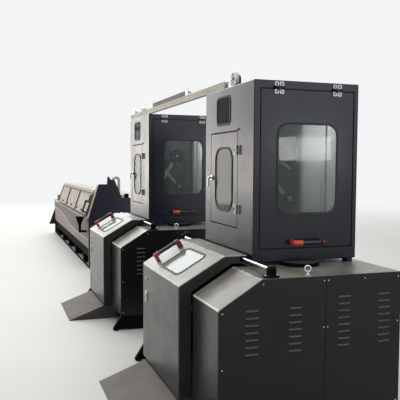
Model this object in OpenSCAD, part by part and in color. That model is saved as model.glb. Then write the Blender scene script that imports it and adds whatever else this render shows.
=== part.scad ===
// Wire drawing line: a drawing machine feeds two enclosed take-ups that stand one behind the other,
// with a wire beam over their towers. X runs along the line, the operator stands at -Y, the floor is Z = 0.

/* [Take-up base] */
// Length of a take-up along the line
base_len = 1700; // [1680:10:1760]
// Depth of a take-up
base_depth = 1150; // [1140:10:1200]
// Top of the vertical front, where the chamfer starts
side_h = 784; // [775:1:790]
// Height of the deck
deck_h = 940; // [925:5:960]
// Run of the chamfer in depth
chamfer = 254; // [250:1:258]
// Underside of the sheet-metal housing
sill_h = 137; // [130:1:140]
// Housing sheet thickness
sheet = 5; // [4:0.5:6]
// Depth of the spool chamber
chamber_depth = 760; // [740:5:780]
// Depth at which the two louvred panels meet
seam_y = 647; // [640:1:655]
// Distance from one take-up to the next
unit_pitch = 2600; // [2590:10:2700]
// How far a louvre stands out of its panel
louvre_out = 7; // [6:0.5:9]

/* [Lid] */
// Length of the plain step between the near end and the lid
step_len = 445; // [440:1:450]
// Length of the lid
lid_len = 905; // [895:1:910]
// How far the lid stands in front of the housing
lid_proud = 85; // [80:1:90]
// Lower edge of the lid
lid_low = 155; // [150:1:160]
// Drop from the deck to the top of the lid's vertical face
lid_drop = 102; // [98:1:106]
// Depth at which the slope meets the flat top
lid_fold_y = 205; // [200:1:210]
// Rise of the lid's flat top over the deck
lid_rise = 67; // [65:1:69]
// Lid sheet thickness
lid_sheet = 4; // [3:0.5:5]
// Diameter of the shaft that the lid turns on
shaft_d = 20; // [18:1:22]
// Depth of the shaft's axis
shaft_y = 325; // [323:1:327]
// Height of the shaft's axis over the deck
shaft_rise = 45; // [44:1:46]
// How far the ramp reaches in front of the lid
ramp_out = 335; // [325:5:345]

/* [Tower] */
// Distance from the near end of the base to the tower
tower_x = 400; // [390:5:410]
// Length of the tower along the line
tower_len = 870; // [860:5:880]
// Depth position of the tower's operator face
tower_y = 370; // [370:1:375]
// Width of the tower in depth
tower_w = 725; // [715:5:735]
// Gap between the deck and the tower
tower_gap = 25; // [22:1:28]
// Height of the tower
tower_h = 1110; // [1100:5:1130]
// Gap round the doors
door_gap = 5; // [5:0.5:6]
// Thickness of the doors
door_t = 24; // [20:1:26]
// Width of a window's rubber gasket
gasket = 14; // [12:1:16]
// Diameter of the wire sheave on the roof
sheave_d = 105; // [100:1:110]
// Length of the dancer arm in the tower
dancer_len = 350; // [330:5:360]

/* [Drawing machine] */
// Distance from the line's near end to the drawing machine
draw_x = 6100; // [6050:10:6200]
// Length of the drawing machine
draw_len = 5300; // [5290:10:5400]
// Length of its raised head at the near end
draw_head = 240; // [230:5:260]
// Length of one lid section
draw_pitch = 1360; // [1340:5:1370]
// Depth position of its front
draw_y = 220; // [215:1:225]
// Depth position of its back
draw_back = 1300; // [1290:5:1310]
// Underside of the beam that it stands on
draw_beam = 150; // [145:1:155]
// Lower edge of the tub panel
draw_low = 300; // [295:1:305]
// Height of the rim under the lids
draw_rim = 770; // [765:1:775]
// Diameter of the largest capstan step
capstan_d = 300; // [290:5:310]
// Distance between two capstans of a section
capstan_gap = 410; // [405:5:415]
// Plain length of a lid beside its window
pull_space = 330; // [320:5:340]
// Distances of a lid's two catches from its near end
catch_places = [595, 1230];

/* [Hidden] */
$fn = 48;
pivot_clear = 0.06;
tower_back = tower_y + tower_w;
tower_low = deck_h + tower_gap;
tower_top = tower_low + tower_h;
tower_a = -tower_x - tower_len;
tower_b = -tower_x;
line_len = draw_x + draw_len;
low_y = -lid_proud - ramp_out;
mid_x = (louvre_out - line_len) / 2;
mid_y = (low_y + draw_back) / 2;
lid_front_h = deck_h - lid_drop;
lid_top_h = deck_h + lid_rise;
shaft_z = deck_h + shaft_rise;
lid_a = -step_len - lid_len;
lid_b = -step_len;
lid_rear_y = shaft_y + 30;
slope_len = norm([lid_fold_y + lid_proud, lid_top_h - lid_front_h]);
slope_a = atan2(lid_top_h - lid_front_h, lid_fold_y + lid_proud);
// end door of the tower: depth from, to, height from, to
ed = [tower_y + 40, tower_back - 30, tower_low + 75, tower_top - 48];
// window of the end door
ew = [ed[0] + 113, ed[1] - 113, ed[2] + 213, ed[3] - 203];
// side door of the tower: x from, to, height from, to
sd = [tower_a + 115, tower_b - 250, tower_low + 185, tower_top - 293];
// window of the side door
sw = [sd[0] + 92, sd[1] - 88, sd[2] + 95, sd[3] - 100];
// small upper window of the tower
uw = [sd[0] + 116, sd[1] - 130, sd[3] + 44, tower_top - 49];
// window of the lid: x from, to, place along the slope from, to
lw = [lid_a + 310, lid_b - 195, 52, slope_len - 42];
// hinge places: depth on the end door, height on the side door
end_hinges = [ed[0] + 123, ed[1] - 129];
side_hinges = [sd[2] + 126, sd[3] - 126];
end_axis = [tower_b + 14, ed[3] + 6];
side_axis = [sd[1] + 8, tower_y - 14];
// wire slot through the deck: x from, to, depth from, to
slot = [tower_b - 600, tower_b - 300, tower_y + 110, tower_y + 190];
plate_x = tower_a + 185;
dancer_pivot = [tower_y + 228, tower_low + 393];
dancer_angle = 60;
sheave_c = [tower_b - 440, tower_y + 50, tower_top + 60];
spool_axis = [330, 470];
dx1 = -line_len;
dx2 = -draw_x;
draw_n = 3;
draw_wall = 25;
dl2 = dx2 - draw_head;
dl1 = dl2 - draw_n * draw_pitch;
draw_foot_pitch = 1000;
head_fold = [draw_y + 155, draw_rim + 492];
head_back = head_fold[0] + 177;
shoulder = [draw_y + 495, draw_rim + 292];
draw_fold = [draw_y + 126, draw_rim + 402];
draw_ridge = draw_fold[0] + 184;
tub_back = draw_ridge - 30;
draw_hinge = [draw_ridge + 18, draw_fold[1] + 4];
draw_skin = 6;

TAKEUP = ["base", "housing", "end_panels", "lid", "lid_window", "lid_handle", "lid_shaft",
    "tower", "tower_gear", "tower_window", "end_door", "end_door_window", "end_door_handle",
    "side_door", "side_door_window", "sheave", "ramp"];

black = "#24262b";
panel = "#17181b";
grey = "#77756f";
glass = "#8fa39c";
rubber = "#141414";
chrome = "#c9ccd0";

// Points of a rectangle with rounded corners, from its limits
function rr(x1, x2, y1, y2, r, n = 6) = [
    for (c = [[x2 - r, y2 - r, 0], [x1 + r, y2 - r, 90], [x1 + r, y1 + r, 180], [x2 - r, y1 + r, 270]],
         i = [0:n]) [c[0] + r * cos(c[2] + i * 90 / n), c[1] + r * sin(c[2] + i * 90 / n)]];

// Extrudes a profile drawn in depth and height from x1 to x2
module along(x1, x2) translate([x1, 0, 0]) rotate([90, 0, 90]) linear_extrude(x2 - x1) children();

// Extrudes a profile drawn in x and height from y1 to y2
module across(y1, y2) translate([0, y2, 0]) rotate([90, 0, 0]) linear_extrude(y2 - y1) children();

module block(a, b) translate(a) cube(b - a);

module rod_x(x1, x2, y, z, d) translate([x1, y, z]) rotate([0, 90, 0]) cylinder(d = d, h = x2 - x1);

module rod_y(y1, y2, x, z, d) translate([x, y2, z]) rotate([90, 0, 0]) cylinder(d = d, h = y2 - y1);

module rod_z(x, y, z1, z2, d) translate([x, y, z1]) cylinder(d = d, h = z2 - z1);

// Wheel of diameter d with a wire groove, on an axis along x
module grooved_wheel(x, y, z, d) difference() {
    rod_x(x - 15, x + 15, y, z, d);
    translate([x, y, z]) rotate([0, 90, 0]) rotate_extrude()
        polygon([[d / 2 + 0.5, -11], [d / 2 - 14, -2], [d / 2 - 14, 2], [d / 2 + 0.5, 11]]);
}

// Places a shape drawn on the lid's slope: x along the line, y up the slope, z out of it
module on_slope() translate([0, -lid_proud, lid_front_h]) rotate([slope_a, 0, 0]) children();

// U-shaped pull handle with its feet on z = 0, a grip along y and stubs at both ends
module pull(len, tall, d) {
    for (s = [-1, 1]) translate([0, s * len / 2, 0]) cylinder(d = d * 1.5, h = 10);
    for (s = [-1, 1]) translate([0, s * len / 2, 0]) cylinder(d = d, h = tall);
    translate([0, -len / 2 - d * 0.6, tall]) rotate([-90, 0, 0]) cylinder(d = d * 1.15, h = len + d * 1.2);
}

// Pane in a rubber gasket that grips the sheet's edge, drawn flat with the sheet between z = -t and z = 0
module pane(b, r, t, lip) {
    color(glass) translate([0, 0, -t / 2 - 2]) linear_extrude(4)
        polygon(rr(b[0] + 9, b[1] - 9, b[2] + 9, b[3] - 9, r - 9));
    color(rubber) linear_extrude(lip) difference() {
        polygon(rr(b[0], b[1], b[2], b[3], r));
        polygon(rr(b[0] + gasket, b[1] - gasket, b[2] + gasket, b[3] - gasket, r - gasket));
    }
    color(rubber) translate([0, 0, -t]) linear_extrude(t) difference() {
        polygon(rr(b[0] + 8.2, b[1] - 8.2, b[2] + 8.2, b[3] - 8.2, r - 8.2));
        polygon(rr(b[0] + gasket, b[1] - gasket, b[2] + gasket, b[3] - gasket, r - gasket));
    }
}

// Take-up: frame with levelling feet, and a wedge foot under each end of the sill
module base() color(panel) {
    difference() {
        block([-base_len + 30, 60, 25], [-30, base_depth - 60, sill_h]);
        block([-base_len + 36, 66, 20], [-36, base_depth - 66, sill_h - 6]);
    }
    for (x = [-6, -base_len]) block([x, 0, 10], [x + 6, base_depth, sill_h]);
    for (x = [-30.5, -base_len + 5.5]) block([x, 60, 25], [x + 25, base_depth - 60, sill_h]);
    for (x = [-110, -base_len / 2, -base_len + 110], y = [130, base_depth - 130]) {
        translate([x, y, 0]) cylinder(d = 90, h = 18);
        translate([x, y, 10]) cylinder(d = 30, h = sill_h - 14);
    }
    for (x = [-30, -base_len]) {
        along(x, x + 30) polygon([[1, sill_h - 2], [-72, 22], [-72, 10], [70, 10], [70, sill_h - 2]]);
        translate([x + 15, -40, 0]) cylinder(d = 44, h = 16);
    }
}

module housing_profile(t) polygon([[t, sill_h + t], [t, side_h - 0.53 * t], [chamfer + 0.3 * t, deck_h - t],
    [base_depth - t, deck_h - t], [base_depth - t, sill_h + t]]);

module housing() color(grey) {
    difference() {
        along(-base_len, -6) housing_profile(0);
        along(-base_len + sheet, lid_a - 15) housing_profile(sheet);
        along(lid_b + 15, 0) housing_profile(sheet);
        along(lid_a - 10, lid_b + 10) polygon([[-9, sill_h + sheet], [-9, deck_h + 9],
            [lid_rear_y + 7, deck_h + 9], [lid_rear_y + 7, deck_h - sheet],
            [chamber_depth, deck_h - sheet], [chamber_depth, sill_h + sheet]]);
        along(lid_a - 10, lid_b + 10) polygon([[chamber_depth + 2 * sheet, sill_h + sheet],
            [chamber_depth + 2 * sheet, deck_h - sheet], [base_depth - sheet, deck_h - sheet],
            [base_depth - sheet, sill_h + sheet]]);
        block([slot[0], slot[2], deck_h - 9], [slot[1], slot[3], deck_h + 9]);
    }
    // return lips that carry the end panels
    block([-26, sheet, sill_h + sheet], [-6, 30, side_h - 60]);
    block([-26, seam_y - 47, sill_h + sheet], [-6, seam_y + 43, deck_h - sheet]);
    block([-26, base_depth - 30, sill_h + sheet], [-6, base_depth - sheet, deck_h - sheet]);
    // spool pintles
    for (s = [[lid_b + 10, -1], [lid_a - 10, 1]]) translate([s[0], spool_axis[0], spool_axis[1]])
        rotate([0, s[1] * 90, 0]) {
            translate([0, 0, -2]) cylinder(d = 210, h = 30);
            translate([0, 0, 20]) cylinder(d = 90, h = 60);
            translate([0, 0, 70]) cylinder(d1 = 90, d2 = 50, h = 50);
        }
    // eye bolt
    translate([-53, 558, deck_h - 1]) {
        cylinder(d = 34, h = 9);
        cylinder(d = 14, h = 22);
        translate([0, 0, 36]) rotate([90, 0, 62]) rotate_extrude() translate([17, 0]) circle(d = 9);
    }
}

// One pressed louvre: a raised hood over its slot
module louvre(y, z) {
    w = 84;
    translate([0, y - w / 2, z]) rotate([90, 0, 90]) translate([0, 0, -0.5])
        linear_extrude(0.5 + louvre_out * 0.55) polygon(rr(0, w, 0, 13, 6, 3));
    translate([0, y - w / 2 + 5, z]) rotate([90, 0, 90])
        linear_extrude(louvre_out) polygon([[0, 2], [w - 10, 2], [w - 14, 9], [4, 9]]);
}

louvre_left = [for (y = [193, 455], i = [0:6]) [y, side_h - 25 - 40 * i]];
louvre_right = [for (y = [seam_y + 118, base_depth - 118], i = [0:7]) [y, deck_h - 136 - 40 * i]];

module end_panels() color(panel) {
    difference() {
        along(-6, 0) polygon([[0, sill_h], [0, side_h], [chamfer, deck_h], [seam_y - 2, deck_h],
            [seam_y - 2, sill_h]]);
        for (p = louvre_left) block([-7, p[0] - 34, p[1] - 4], [1, p[0] + 34, p[1] + 3]);
    }
    difference() {
        along(-6, 0) polygon([[seam_y + 2, sill_h], [seam_y + 2, deck_h], [base_depth, deck_h],
            [base_depth, sill_h]]);
        for (p = louvre_right) block([-7, p[0] - 34, p[1] - 4], [1, p[0] + 34, p[1] + 3]);
    }
    for (p = concat(louvre_left, louvre_right)) louvre(p[0], p[1]);
    e = base_depth - 22;
    for (p = [[chamfer + 5, deck_h - 27], [22, side_h - 17], [seam_y - 12, deck_h - 27],
              [seam_y + 12, deck_h - 27], [e - 228, deck_h - 27], [e, deck_h - 27],
              [seam_y - 12, 648], [seam_y + 12, 648], [22, 460], [e, 648],
              [22, sill_h + 33], [seam_y - 12, sill_h + 33], [seam_y + 12, sill_h + 33], [e, sill_h + 33],
              [330, sill_h + 33], [e - 228, sill_h + 33]])
        rod_x(-1, 4, p[0], p[1], 12);
}

module lid() color(grey) {
    c = lid_sheet;
    difference() {
        union() {
            along(lid_a, lid_b) polygon([[-lid_proud, lid_low], [-lid_proud, lid_front_h],
                [lid_fold_y, lid_top_h], [lid_rear_y, lid_top_h], [lid_rear_y, lid_top_h - c],
                [lid_fold_y + 0.27 * c, lid_top_h - c], [-lid_proud + c, lid_front_h - 0.55 * c],
                [-lid_proud + c, lid_low]]);
            for (x = [lid_a, lid_b - c]) along(x, x + c) polygon([[-lid_proud, lid_low],
                [-lid_proud, lid_front_h], [lid_fold_y, lid_top_h], [lid_rear_y, lid_top_h],
                [lid_rear_y, shaft_z - 20], [shaft_y - 15, deck_h + 18], [chamfer - 2, deck_h + 18],
                [-8, side_h + 14], [-8, lid_low]]);
            for (x = [lid_a, lid_b - 30]) rod_x(x, x + 30, shaft_y, shaft_z, 40);
            // folded lip along the lower edge
            block([lid_a, -lid_proud, lid_low], [lid_b, -lid_proud + 25, lid_low + c]);
        }
        rod_x(lid_a - 1, lid_b + 1, shaft_y, shaft_z, shaft_d + 2 * pivot_clear);
        on_slope() translate([0, 0, -20]) linear_extrude(40)
            polygon(rr(lw[0] + 8, lw[1] - 8, lw[2] + 8, lw[3] - 8, 42));
    }
    // latch plate and key lock on the vertical face
    translate([lid_a + 104, -lid_proud + 1, lid_front_h - 223]) rotate([90, 0, 0]) {
        linear_extrude(5) polygon(rr(-32, 32, -40, 40, 12));
        linear_extrude(9) polygon(rr(-20, 20, -27, 27, 6));
    }
    rod_y(-lid_proud - 6, -lid_proud + 1, lid_a + 104, lid_front_h - 96, 26);
}

module lid_window() on_slope() pane(lw, 50, lid_sheet, 4);

module lid_handle() color(rubber) on_slope() translate([lid_a + 190, 175, 0]) pull(190, 62, 20);

// Shaft that the lid turns on, in a bearing at each end of the deck
module lid_shaft() color(chrome) {
    rod_x(-base_len + 22, -22, shaft_y, shaft_z, shaft_d);
    for (x = [-41, -base_len + 41]) difference() {
        union() {
            block([x - 19, shaft_y - 43, deck_h], [x + 19, shaft_y + 43, deck_h + 12]);
            block([x - 15, shaft_y - 24, deck_h], [x + 15, shaft_y + 24, shaft_z]);
            rod_x(x - 15, x + 15, shaft_y, shaft_z, 48);
        }
        for (s = [-1, 1]) translate([x, shaft_y + s * 34, deck_h - 1]) cylinder(d = 9, h = 20);
    }
}

// Shell of the tower on its feet, with the fixed halves of its door hinges and the sheave's bracket
module tower() color(black) {
    t = sheet;
    difference() {
        block([tower_a, tower_y, tower_low], [tower_b, tower_back, tower_top]);
        block([tower_a + t, tower_y + t, tower_low + t], [tower_b - t, tower_back - t, tower_top - t]);
        block([tower_b - t - 1, ed[0], ed[2]], [tower_b + 1, ed[1], ed[3]]);
        block([sd[0], tower_y - 1, sd[2]], [sd[1], tower_y + t + 1, sd[3]]);
        across(tower_y - 1, tower_y + t + 1) polygon(rr(uw[0] + 8, uw[1] - 8, uw[2] + 8, uw[3] - 8, 34));
        // wire slots in the roof and the floor
        translate([sheave_c[0] - 40, sheave_c[1] - 20, tower_top - 9]) cube([80, 40, 18]);
        block([slot[0], slot[2], tower_low - 9], [slot[1], slot[3], tower_low + 9]);
    }
    // feet and round pedestal on the deck
    rod_z(tower_b + 5, tower_y + 320, deck_h, tower_low + 1, 240);
    for (x = [tower_a + 40, tower_b - 80], y = [tower_y + 50, tower_back - 50])
        block([x, y, deck_h], [x + 60, y + 40, tower_low + 1]);
    // roof bracket and pin of the sheave
    difference() {
        union() {
            translate([sheave_c[0] - 40, sheave_c[1] + 24, tower_top - 1]) cube([80, 8, 51]);
            rod_y(sheave_c[1] + 24, sheave_c[1] + 32, sheave_c[0], sheave_c[2] - 10, 80);
            translate([sheave_c[0] - 40, sheave_c[1] + 24, tower_top - 1]) cube([160, 56, 7]);
        }
        for (x = [60, 100]) rod_z(sheave_c[0] + x, sheave_c[1] + 56, tower_top + 1, tower_top + 17, 11);
    }
    rod_y(sheave_c[1] - 18, sheave_c[1] + 25, sheave_c[0], sheave_c[2], 16);
    rod_y(sheave_c[1] - 22, sheave_c[1] - 17, sheave_c[0], sheave_c[2], 18);
    // fixed leaves and pins of the door hinges
    for (y = end_hinges) {
        block([tower_b - 1, y - 30, ed[3] + 4], [tower_b + 5, y + 30, ed[3] + 38]);
        for (s = [-1, 1]) translate([0, y + s * 20, 0]) {
            rod_y(-10, 10, end_axis[0], end_axis[1], 16);
            block([tower_b + 4, -10, end_axis[1]], [end_axis[0], 10, end_axis[1] + 8]);
        }
        rod_y(y - 25, y + 25, end_axis[0], end_axis[1], 8);
    }
    for (z = side_hinges) {
        block([sd[1] + 4, tower_y - 5, z - 30], [sd[1] + 38, tower_y + 1, z + 30]);
        for (s = [-1, 1]) translate([0, 0, z + s * 20]) {
            rod_z(side_axis[0], side_axis[1], -10, 10, 16);
            block([side_axis[0], side_axis[1], -10], [side_axis[0] + 8, tower_y - 4, 10]);
        }
        rod_z(side_axis[0], side_axis[1], z - 25, z + 25, 8);
    }
}

// Mounting plate in the tower with the dancer arm at its stop, a guide wheel and the rails of the wire lay
module tower_gear() color(chrome) {
    lo = tower_low + sheet;
    hi = tower_top - sheet;
    block([plate_x - 5, tower_y + door_t + 8, lo], [plate_x + 5, tower_back - sheet, hi]);
    rod_x(plate_x, plate_x + 85, dancer_pivot[0], dancer_pivot[1], 70);
    rod_x(plate_x, plate_x + 313, dancer_pivot[0], dancer_pivot[1], 30);
    rod_x(plate_x + 305, plate_x + 323, dancer_pivot[0], dancer_pivot[1], 46);
    rod_x(plate_x, plate_x + 315, tower_y + 270, tower_top - 175, 24);
    grooved_wheel(plate_x + 285, tower_y + 270, tower_top - 175, 160);
    translate([0, dancer_pivot[0], dancer_pivot[1]]) rotate([dancer_angle, 0, 0]) {
        rod_x(plate_x + 273, plate_x + 307, 0, 0, 62);
        along(plate_x + 279, plate_x + 295)
            polygon([[0, -22], [dancer_len, -16], [dancer_len, 16], [0, 22]]);
        rod_x(plate_x + 279, plate_x + 355, dancer_len, 0, 24);
        grooved_wheel(plate_x + 325, dancer_len, 0, 160);
    }
    rod_z(tower_b - 70, tower_y + 492, lo, hi, 22);
    rod_z(tower_b - 70, tower_y + 455, lo, hi, 12);
    for (z = [lo + 40, hi - 60]) block([plate_x, tower_y + 440, z], [tower_b - 60, tower_y + 508, z + 16]);
}

module tower_window() translate([0, tower_y, 0]) rotate([90, 0, 0]) pane(uw, 42, sheet, 4);

module end_door() color(black) {
    g = door_gap;
    difference() {
        block([tower_b - door_t, ed[0] + g, ed[2] + g], [tower_b, ed[1] - g, ed[3] - g]);
        block([tower_b - door_t - 1, ed[0] + g + 4, ed[2] + g + 4],
            [tower_b - 4, ed[1] - g - 4, ed[3] - g - 4]);
        along(tower_b - 9, tower_b + 1) polygon(rr(ew[0] + 8, ew[1] - 8, ew[2] + 8, ew[3] - 8, 72));
    }
    for (y = end_hinges) difference() {
        union() {
            block([tower_b - 1, y - 30, ed[3] - 46], [tower_b + 5, y + 30, ed[3] - 12]);
            block([tower_b + 4, y - 9, end_axis[1] - 28], [end_axis[0] + 7, y + 9, end_axis[1] - 4]);
            rod_y(y - 9, y + 9, end_axis[0], end_axis[1], 16);
        }
        rod_y(y - 20, y + 20, end_axis[0], end_axis[1], 8 + 2 * pivot_clear);
    }
}

module end_door_window() translate([tower_b, 0, 0]) rotate([90, 0, 90]) pane(ew, 80, 4, 5);

module end_door_handle() color(rubber) translate([tower_b, ed[0] + 347, ed[2] + 42]) rotate([0, 90, 0])
    pull(190, 48, 22);

module side_door() color(black) {
    g = door_gap;
    difference() {
        block([sd[0] + g, tower_y, sd[2] + g], [sd[1] - g, tower_y + door_t, sd[3] - g]);
        block([sd[0] + g + 4, tower_y + 4, sd[2] + g + 4],
            [sd[1] - g - 4, tower_y + door_t + 1, sd[3] - g - 4]);
        across(tower_y - 1, tower_y + 9) polygon(rr(sw[0] + 8, sw[1] - 8, sw[2] + 8, sw[3] - 8, 140));
    }
    for (z = side_hinges) difference() {
        union() {
            block([sd[1] - 48, tower_y - 5, z - 30], [sd[1] - 14, tower_y + 1, z + 30]);
            block([sd[1] - 20, side_axis[1] - 6, z - 9], [sd[1] - 4, tower_y - 4, z + 9]);
            block([sd[1] - 10, side_axis[1] - 6, z - 9], [side_axis[0], side_axis[1] + 6, z + 9]);
            rod_z(side_axis[0], side_axis[1], z - 9, z + 9, 16);
        }
        rod_z(side_axis[0], side_axis[1], z - 20, z + 20, 8 + 2 * pivot_clear);
    }
    // chrome lever of the catch
    translate([sd[0] + 27, tower_y + 1, sd[2] + 320]) rotate([90, 0, 0]) {
        cylinder(d = 38, h = 9);
        cylinder(d = 18, h = 34);
        translate([0, 0, 25]) linear_extrude(9) polygon(rr(-9, 9, -72, 9, 8.9));
    }
}

module side_door_window() translate([0, tower_y, 0]) rotate([90, 0, 0]) pane(sw, 148, 4, 5);

// Wire sheave on its roof pin, with a groove and lightening holes
module sheave() color("#e8e8e6") difference() {
    r = sheave_d / 2;
    rod_y(sheave_c[1] - 11, sheave_c[1] + 11, sheave_c[0], sheave_c[2], sheave_d);
    rod_y(sheave_c[1] - 20, sheave_c[1] + 20, sheave_c[0], sheave_c[2], 16 + 2 * pivot_clear);
    translate(sheave_c) rotate([90, 0, 0]) rotate_extrude()
        polygon([[r + 0.5, -8], [r - 9, -1.5], [r - 9, 1.5], [r + 0.5, 8]]);
    for (a = [0:60:300]) translate(sheave_c) rotate([0, a, 0]) rod_y(-20, 20, r / 2, 0, 15);
}

// Spool ramp in front of the lid, a hollow wedge that reaches back to the plinth
module ramp() color(grey) {
    y0 = -lid_proud + 5;
    z0 = sill_h - 5;
    difference() {
        along(lid_a + 45, lid_b - 55) polygon([[60, 0], [60, z0], [y0, z0], [low_y, 6], [low_y, 0]]);
        along(lid_a + 51, lid_b - 61) polygon([[54, -1], [54, z0 - 6], [y0 - 1, z0 - 6], [low_y + 22, -1]]);
    }
}

// Wire beam: an open channel over both towers, with a guard plate behind it between them
beam_a = -unit_pitch + tower_a + 10;
beam_b = sheave_c[0] - 65;
beam_y = tower_y + 4;
roller_x = [tower_a - 580, tower_b - unit_pitch - 5, tower_b - unit_pitch - 800];

module wire_beam() color("#b9b4a5") {
    difference() {
        block([beam_a, beam_y, tower_top], [beam_b, beam_y + 28, tower_top + 50]);
        block([beam_a - 1, beam_y + 4, tower_top + 4], [beam_b + 1, beam_y + 24, tower_top + 60]);
    }
    block([roller_x[1] + 55, beam_y + 27, tower_top + 10], [roller_x[0] - 50, beam_y + 31, tower_top + 100]);
}

module wire_rollers() color(chrome) for (x = roller_x) {
    block([x - 35, beam_y + 28, tower_top + 14], [x + 35, beam_y + 33, tower_top + 120]);
    for (s = [-1, 1]) {
        rod_y(beam_y + 32, beam_y + 62, x + s * 18, tower_top + 72 + s * 16, 10);
        rod_y(beam_y + 35, beam_y + 57, x + s * 18, tower_top + 72 + s * 16, 30);
    }
}

// Beam under the drawing machine, on thin cross feet with rounded brackets
module draw_bed() color(panel) {
    block([dx1 + draw_wall, draw_y + 30, draw_beam], [dx2 - draw_wall, draw_back - 60, draw_low]);
    for (i = [0:4]) {
        x = dx2 - 700 - i * draw_foot_pitch;
        block([x - 25, draw_y + 12, 0], [x + 25, draw_back - 40, draw_beam + 1]);
        for (y = [draw_y + 30, draw_back - 90]) translate([x, y, draw_beam + 1]) rotate([-90, 0, 0])
            linear_extrude(30) polygon([[-95, 0], [95, 0], [60, 12], [34, 36], [25, 70], [-25, 70],
                [-34, 36], [-60, 12]]);
    }
}

// Sections through the machine: at the raised head, and along the lids
module head_profile(t) polygon([[draw_y + t, draw_low], [draw_y + t, draw_rim],
    [head_fold[0] + 0.8 * t, head_fold[1] - t], [head_back - 0.6 * t, head_fold[1] - t],
    [shoulder[0] - 0.4 * t, shoulder[1] - t], [draw_back - t, shoulder[1] - t], [draw_back - t, draw_low]]);

// Gearbox housing behind the tub, with the head at the near end and the low entry table at the far end
module draw_gearbox() color(grey) {
    t = draw_skin;
    along(dl1 - 1, dl2 + 1) polygon([[tub_back, draw_low], [tub_back, draw_fold[1] - t],
        [draw_ridge, draw_fold[1] - t], [draw_ridge + 70, shoulder[1] - t],
        [draw_back - t, shoulder[1] - t], [draw_back - t, draw_low]]);
    along(dl2, dx2 - draw_wall) head_profile(t);
    difference() {
        block([dx1 + draw_wall, draw_y + t, draw_low], [dl1, draw_back - t, draw_rim]);
        block([dx1 + draw_wall + 40, draw_y + 40, draw_rim - 70], [dl1 - 60, tub_back, draw_rim + 1]);
    }
    // entry guide on the table
    difference() {
        block([dx1 + 150, draw_y + 50, draw_rim - 71], [dx1 + 162, tub_back - 20, draw_rim + 110]);
        rod_x(dx1 + 140, dx1 + 170, draw_y + 150, draw_rim + 50, 60);
    }
    for (s = [-1, 1]) rod_z(dx1 + 185, draw_y + 150 + s * 30, draw_rim - 71, draw_rim + 100, 36);
    // hinge lugs and pins behind the ridge
    for (i = [0:draw_n - 1], x = draw_hinge_x(i)) {
        for (s = [-1, 1]) block([x + s * 30 - 9, draw_hinge[0] - 9, shoulder[1] + 40],
            [x + s * 30 + 9, draw_hinge[0] + 9, draw_hinge[1] + 7]);
        rod_x(x - 34, x + 34, draw_hinge[0], draw_hinge[1], 10);
    }
}

// Tub under the lids: floor and partitions
module draw_tub() color(grey) {
    t = draw_skin;
    block([dl1, draw_y + 2 * t, draw_low], [dl2, tub_back, draw_low + 80]);
    for (i = [0:draw_n]) {
        x = dl2 - i * draw_pitch;
        along(max(dl1, x - 8), min(dl2, x + 8)) polygon([[draw_y + 2 * t, draw_low],
            [draw_y + 2 * t, draw_rim], [draw_fold[0] + 0.8 * t, draw_fold[1] - t],
            [tub_back, draw_fold[1] - t], [tub_back, draw_low]]);
    }
}

// Front panel of the tub, with the rim that the lids close on
module draw_front() color(grey) {
    t = draw_skin;
    block([dl1, draw_y + t, draw_low], [dl2, draw_y + 2 * t, draw_rim - 4]);
    block([dx1 + draw_wall, draw_y - 22, draw_rim - 30], [dx2 - draw_wall, draw_y + t, draw_rim - 4]);
}

// End plates: the near one has an ear behind the head and the hose's junction box, the far one a gusset
module draw_end_plate() color(panel) {
    b = head_fold[1] + 12;
    for (x = [dx2 - 35, dx1 + 35], y = [draw_y + 40, draw_back - 80]) rod_z(x, y, 0, 15, 70);
    along(dx2 - draw_wall, dx2) polygon([[draw_y - 4, 14], [draw_y - 4, draw_rim + 4], [head_fold[0] - 6, b],
        [head_fold[0] + 123, b], [head_fold[0] + 129, b + 111], [head_fold[0] + 161, b + 111],
        [head_fold[0] + 171, b + 72], [head_fold[0] + 225, b + 72], [head_fold[0] + 255, b + 24],
        [shoulder[0] + 6, shoulder[1] + 6], [draw_back, shoulder[1] + 6], [draw_back, 14]]);
    along(dx1, dx1 + draw_wall) polygon([[draw_y, 14], [draw_y, 200], [draw_y - 130, 200], [draw_y, 560],
        [draw_y, draw_rim + 6], [draw_back, draw_rim + 6], [draw_back, 14]]);
    along(dx2 - 110, dx2 - draw_wall) polygon([[box_y[0], head_z(box_y[0])], [box_y[0], box_top],
        [box_y[1], box_top], [box_y[1], head_z(box_y[1])]]);
}

box_y = [head_back + 28, head_back + 76];
box_top = head_fold[1] + 68;

// Height of the head's rear slope at depth y
function head_z(y) = let (t = draw_skin, a = [head_back - 0.6 * t, head_fold[1] - t],
    b = [shoulder[0] - 0.4 * t, shoulder[1] - t]) a[1] + (y - a[0]) * (b[1] - a[1]) / (b[0] - a[0]);

// Stepped capstans on shafts from the gearbox
module draw_capstans() color(chrome) for (i = [0:draw_n - 1], j = [-1:1]) {
    x = dl2 - (i + 0.5) * draw_pitch + j * capstan_gap;
    rod_y(draw_y + 85, tub_back, x, draw_rim - 130, 70);
    for (k = [0:3]) {
        rod_y(draw_y + 110 + k * 26, draw_y + 136 + k * 26, x, draw_rim - 130, capstan_d - 84 + k * 24);
        rod_y(draw_y + 132 + k * 26, draw_y + 136 + k * 26, x, draw_rim - 130, capstan_d - 72 + k * 24);
    }
    rod_y(tub_back - 24, tub_back, x, draw_rim - 130, 190);
}

draw_lid_foot = [draw_y - 12, draw_rim + 6];
draw_lid_fold = [draw_fold[0] - 1, draw_fold[1] + 7];
draw_lid_a = atan2(draw_lid_fold[1] - draw_lid_foot[1], draw_lid_fold[0] - draw_lid_foot[0]);
draw_lid_h = norm(draw_lid_fold - draw_lid_foot);

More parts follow.
